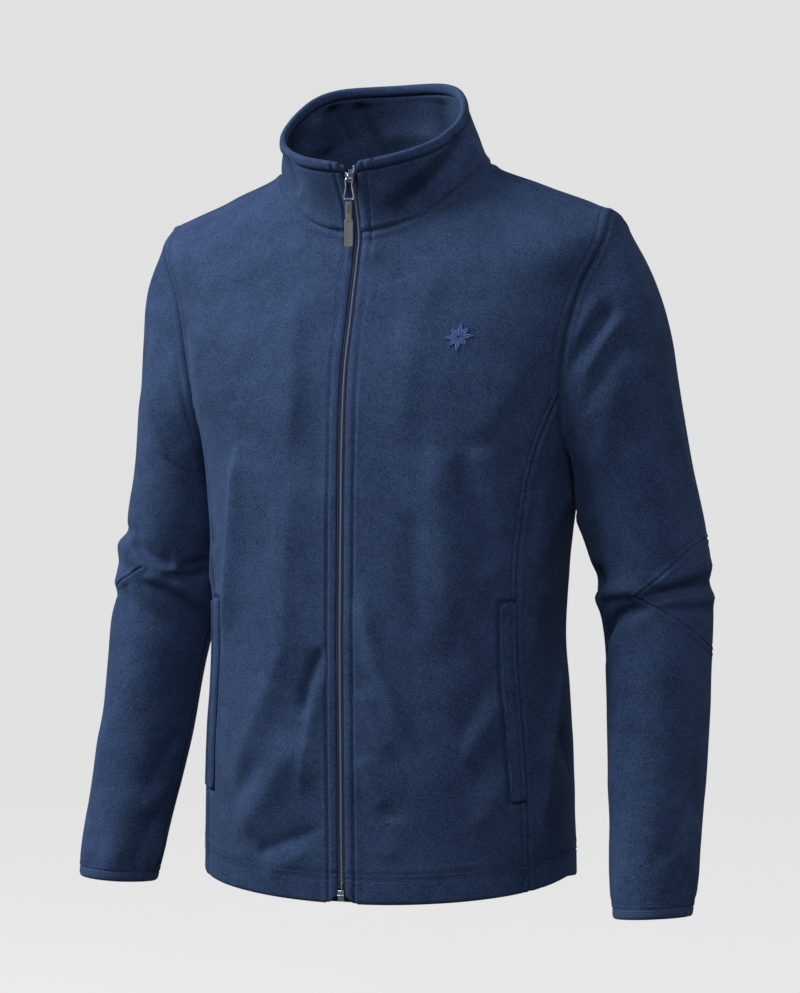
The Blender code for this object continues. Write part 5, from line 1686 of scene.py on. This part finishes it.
def plate(outline, thickness, at=(0, 0, 0), rows=40, around=28, dish=None):
    # A moulded plate: rounded sections |x/w|^n + |y/t|^n = 1, its half-width smooth along it.
    # The outline's rows are (z, half-width), from the top down.
    lengths, widths = np.array(outline)[::-1].T
    v = np.linspace(0, 1, rows)[:, None]
    z = lengths[-1] + (lengths[0] - lengths[-1]) * (0.5 - 0.5 * np.cos(math.pi * v))
    ends = np.sqrt(np.clip(1 - (2 * v - 1) ** 14, 0, 1))
    turn = np.arange(around) * 2 * math.pi / around
    reach = squareReach(np.sin(turn), np.cos(turn), 5.0)
    x = smooth(z, lengths, widths) * ends * np.cos(turn) * reach
    y = thickness / 2 * ends * np.sin(turn) * reach
    if dish is not None:
        y = y + dish(x, z) * (np.sin(turn) * reach < -0.5)
    points = np.stack([x, y, z + 0 * x], axis=-1) + np.array(at)
    return points.reshape(-1, 3), poledQuads(x.shape)


def hardPiece(name, parts, material, nodes, body="jacket"):
    # Parts in one mesh, without the poles' spare points, every face turned outwards.
    piece = makeObject(name, *joinParts(parts), material)
    work = bmesh.new()
    work.from_mesh(piece.data)
    loose = [vert for vert in work.verts if not vert.link_faces]
    bmesh.ops.delete(work, geom=loose, context="VERTS")
    bmesh.ops.recalc_face_normals(work, faces=work.faces)
    work.to_mesh(piece.data)
    work.free()
    finishPiece(piece, nodes, body)


def moved(parts, by):
    return [(points + by, quads) for points, quads in parts]


def zipStand(up):
    # A place on the zip: its point, the way out of the cloth and the way up.
    rise = unit(bodyPoint(0.0, up + 0.005) - bodyPoint(0.0, up - 0.005))
    return bodyPoint(0.0, up), np.cross([1.0, 0.0, 0.0], rise), rise


def standOnZip(parts, up):
    # Turn parts so that their +Z runs up the zip and their -Y out of the cloth.
    origin, out, rise = zipStand(up)
    turned = np.stack([np.array([1.0, 0, 0]), -out, rise])
    return [(points @ turned + origin, quads) for points, quads in parts]


slider = {
    "up": 0.820,
    "front": (0.0084, 0.0012, 0.0100),  # width, thickness, height
    "back": (0.0078, 0.0012, 0.0090),
    # share of the height, half-width
    "shield": ((0.50, 0.0030), (0.30, 0.0042), (0.0, 0.0040), (-0.30, 0.0031), (-0.50, 0.0029)),
    "clearFront": 0.0006,
    "clearBack": 0.0004,
    "drop": 0.0008,
    "neckHalf": 0.0013,
    "neckUp": 0.0018,
    "bridge": (0.0034, 0.0033, 0.0008),  # half its height, its reach and its wire
    "pivotOut": 0.0029,
    "pivotRise": -0.0012,
}


def makeSlider():
    width, thick, height = slider["front"]
    backWidth, backThick, backHeight = slider["back"]
    frontY = -slider["clearFront"] - thick / 2
    backY = wall["collar"] + slider["clearBack"] + backThick / 2
    shield = [(share * height, half) for share, half in slider["shield"]]
    back = [(share * backHeight, half * backWidth / width) for share, half in slider["shield"]]
    half, reach, wire = slider["bridge"]
    turn = np.linspace(0, math.pi, 17)
    arch = np.stack([0 * turn, frontY - reach * np.sin(turn), half * np.cos(turn)], axis=1)
    neck = (slider["neckHalf"], (backY - frontY) / 2, slider["neckHalf"])
    parts = [
        plate(shield, thick, (0, frontY, -slider["drop"])),
        plate(back, backThick, (0, backY, 0)),
        roundedBlock(neck, 0.0003, (0, (frontY + backY) / 2, slider["neckUp"])),
        tube(arch, wire, 12),
    ]
    hardPiece("zip_slider_body", standOnZip(parts, slider["up"]), metal, ["zip_slider"])


def pivot():
    origin, out, rise = zipStand(slider["up"])
    return origin + slider["pivotOut"] * out + slider["pivotRise"] * rise


pull = {
    "loopDrop": 0.0195,
    "loopTop": 0.0038,
    "loopBottom": 0.0048,
    "loopWaist": 0.0010,
    "wire": 0.00068,
    "corner": 0.0016,
    "neck": (0.0066, 0.0185),  # width and length
    "grip": (0.0094, 0.0250),
    "thick": 0.0015,
    "top": -0.0006,
    "eye": (0.00135, 0.00045, 0.0024),  # radius, wire and half-width
    "dish": (0.00022, 0.0012, 0.0006, 0.0015),  # depth, edge at the sides, its slope, at the ends
    "ribs": (0.00010, 0.0021),  # depth and pitch
    "windowThick": 0.0018,
}


def makeLoop():
    # A wire loop pinched below its top and wider at the bottom, with rounded corners.
    corner = pull["corner"]
    drop = pull["loopDrop"]
    centres = (
        (pull["loopTop"] - corner, -corner, 90),
        (pull["loopBottom"] - corner, corner - drop, 0),
        (corner - pull["loopBottom"], corner - drop, -90),
        (corner - pull["loopTop"], -corner, -180),
    )
    bends = []
    for x, z, start in centres:
        turn = np.radians(np.linspace(start, start - 90, 7))
        bends.append(np.stack([x + corner * np.cos(turn), 0 * turn, z + corner * np.sin(turn)], axis=1))
    bends = np.concatenate(bends)
    path = []
    for here, there in zip(bends, np.roll(bends, -1, axis=0)):
        steps = max(1, int(np.linalg.norm(there - here) / 0.0012))
        path.append(here + (there - here) * (np.arange(steps) / steps)[:, None])
    path = np.concatenate(path)
    pinch = np.sin(math.pi * np.clip(-1.2 * path[:, 2] / drop, 0, 1)) ** 2
    path[:, 0] -= np.sign(path[:, 0]) * pull["loopWaist"] * pinch
    parts = moved([tube(path, pull["wire"], 12, closed=True)], pivot())
    hardPiece("pull_loop_wire", parts, metal, ["pull_loop"], "pull_loop")


def makeTab():
    # One moulding: an eye, a neck with a window painted darker as the shade of a sunk window, and a wider
    # grip with low ribs.
    neck = pull["neck"][0] / 2
    grip = pull["grip"][0] / 2
    top = pull["top"]
    joint = top - pull["neck"][1]
    bottom = joint - pull["grip"][1]
    outline = (
        (top, neck - 0.0004),
        (top - 0.0010, neck),
        (top - 0.0022, neck),
        (joint + 0.0014, neck),
        (joint + 0.0006, neck),
        (joint - 0.0004, grip - 0.0002),
        (joint - 0.0012, grip),
        (joint - 0.0024, grip),
        (bottom + 0.0026, grip),
        (bottom + 0.0014, grip),
        (bottom, grip - 0.0008),
    )
    window = (
        (top - 0.0024, 0.0014),
        (top - 0.0044, 0.0021),
        (top - 0.0100, 0.0021),
        (top - 0.0120, 0.0014),
    )

    def dish(x, z):
        depth, edge, slope, margin = pull["dish"]
        height, pitch = pull["ribs"]
        within = (z < joint - margin) * (z > bottom + margin)
        within = np.clip((grip - edge - np.abs(x)) / slope, 0, 1) * within
        return (depth + height * np.cos((z - joint) * 2 * math.pi / pitch)) * within

    centre = pivot() + np.array([0, 0, -pull["loopDrop"]])
    radius, wire, half = pull["eye"]
    turn = np.arange(28) * 2 * math.pi / 28
    ring = np.stack([0 * turn, radius * np.cos(turn), radius * np.sin(turn)], axis=1)
    eye = tube(ring, wire, 8, closed=True)
    parts = [plate(outline, pull["thick"], rows=150, around=48, dish=dish)]
    for x in np.linspace(-half, half, 7):
        parts += moved([eye], np.array([x, 0, 0]))
    hardPiece("pull_tab_moulding", moved(parts, centre), taupe, ["pull_tab"], "pull_tab")
    parts = moved([plate(window, pull["windowThick"], around=32)], centre)
    # The window is a plate that stands a little proud, painted dark as shade in place of a recess.
    hardPiece("pull_tab_window", parts, paintedWindowShade, [], "pull_tab")


zipBox = {
    "height": 0.0104,
    "half": (0.0033, 0.0015),
    "up": 0.0004,
    "shell": (0.0007, (0, 0.0009, 0)),  # edge radius and middle
    "bandHalf": (0.0034, 0.0007, 0.0005),
    "band": (0.00035, (0, -0.0006, 0.0004)),
    "pinEnds": (0.0040, 0.0125),
    "pinAt": (0.0012, -0.0002),
    "pinRadius": 0.0005,
}


def makeZipBox():
    height = zipBox["height"]
    width, depth = zipBox["half"]
    shell = roundedBlock((width, depth, height / 2), *zipBox["shell"], 32, 17)
    band = roundedBlock(zipBox["bandHalf"], *zipBox["band"], 24, 9)
    z = np.linspace(*zipBox["pinEnds"], 9)
    x, y = zipBox["pinAt"]
    pin = tube(np.stack([0 * z + x, 0 * z + y, z], axis=1), zipBox["pinRadius"])
    parts = standOnZip([shell, band, pin], height / 2 + zipBox["up"])
    hardPiece("zip_box_shell", parts, metal, ["zip_box"])


makeSlider()
makeLoop()
makeTab()
makeZipBox()
print("slider, loop, tab and box made")

# ---- studio
studio = {
    "azimuth": 25.0,
    "distance": 3.0,
    "target": (0.00444, 0.00207, -0.310),
    "lens": 113.07,
    "shiftUp": -0.0065,
    "floor": -1.02,
    "bend": (5.0, 3.0, 7.0),  # where the paper turns up, its radius there and its top
    "paper": 0.73,
    "lightsFace": (0.0, 0.0, -0.32),
    "sky": ((0.9, 0.95, 1.0, 1), 0.16),
}
lights = (
    # name, azimuth, elevation, distance, size, power
    ("keyLight", -60, 40, 2.7, 1.0, 108.0),
    ("fillLight", 20, 32, 3.2, 1.4, 37.0),
    ("rimLight", 120, 24, 3.0, 1.2, 12.0),
)


def standBack(thing, target, azimuth, elevation, distance):
    # Places a camera or a light so that it faces the target from a compass turn and a height.
    a = math.radians(azimuth)
    e = math.radians(elevation)
    back = np.array([math.sin(a) * math.cos(e), -math.cos(a) * math.cos(e), math.sin(e)])
    thing.location = np.array(target) + distance * back
    thing.rotation_euler = (math.pi / 2 - e, 0, a)


def makeCamera():
    data = bpy.data.cameras.new("studioCamera")
    data.lens = studio["lens"]
    data.sensor_width = 36
    data.shift_y = studio["shiftUp"]
    camera = addObject("studioCamera", data)
    standBack(camera, studio["target"], studio["azimuth"], 0, studio["distance"])
    bpy.context.scene.camera = camera


def makeLight(name, azimuth, elevation, distance, size, power):
    data = bpy.data.lights.new(name, "AREA")
    data.shape = "SQUARE"
    data.size = size
    data.energy = power
    standBack(addObject(name, data), studio["lightsFace"], azimuth, elevation, distance)


def makePaper():
    # A pale floor that curves up into a wall all round: a profile of radius and height, turned.
    start, bend, top = studio["bend"]
    turn = np.linspace(0, math.pi / 2, 13)[1:]
    level = np.linspace(0.6, start, 12)
    radius = np.concatenate([[0.0], level, start + bend * np.sin(turn), [start + bend]])[:, None]
    height = np.concatenate([np.zeros(13), bend * (1 - np.cos(turn)), [top]])[:, None] + studio["floor"]
    around = np.arange(72) * math.radians(5)
    x = radius * np.sin(around)
    points = np.stack([x, radius * np.cos(around), height + 0 * x], axis=-1)
    ids = numbered(x.shape)
    ids[0] = ids[0, 0]
    finish = Finish("studioPaper")
    grain = finish.noise(finish.place(), 3.0, 2.0, 0.5)
    color = finish.mixColor(grain, (0.10, 0.10, 0.10, 1), (0.12, 0.12, 0.12, 1))
    finish.set(Base_Color=color, Roughness=1.0)
    finish.set(Emission_Color=(1, 1, 1, 1), Emission_Strength=studio["paper"], Specular_IOR_Level=0.0)
    quads = gridQuads(wrapped(ids))[:, ::-1]
    paper = makeObject("studioPaper", points.reshape(-1, 3), quads, finish.material)
    paper.visible_diffuse = False
    paper.visible_glossy = False


def makeSky():
    color, strength = studio["sky"]
    world = bpy.data.worlds.new("studioWorld")
    world.use_nodes = True
    background = world.node_tree.nodes["Background"].inputs
    background["Color"].default_value = color
    background["Strength"].default_value = strength
    bpy.context.scene.world = world


makeCamera()
makePaper()
makeSky()
for row in lights:
    makeLight(*row)
bpy.context.scene.view_settings.view_transform = "Standard"

triangles = 0
for name in pieceNames:
    mesh = bpy.data.objects[name].data
    mesh.calc_loop_triangles()
    count = len(mesh.loop_triangles)
    triangles += count
    print(f"{name}: {count} triangles")
print("triangles in all:", triangles)
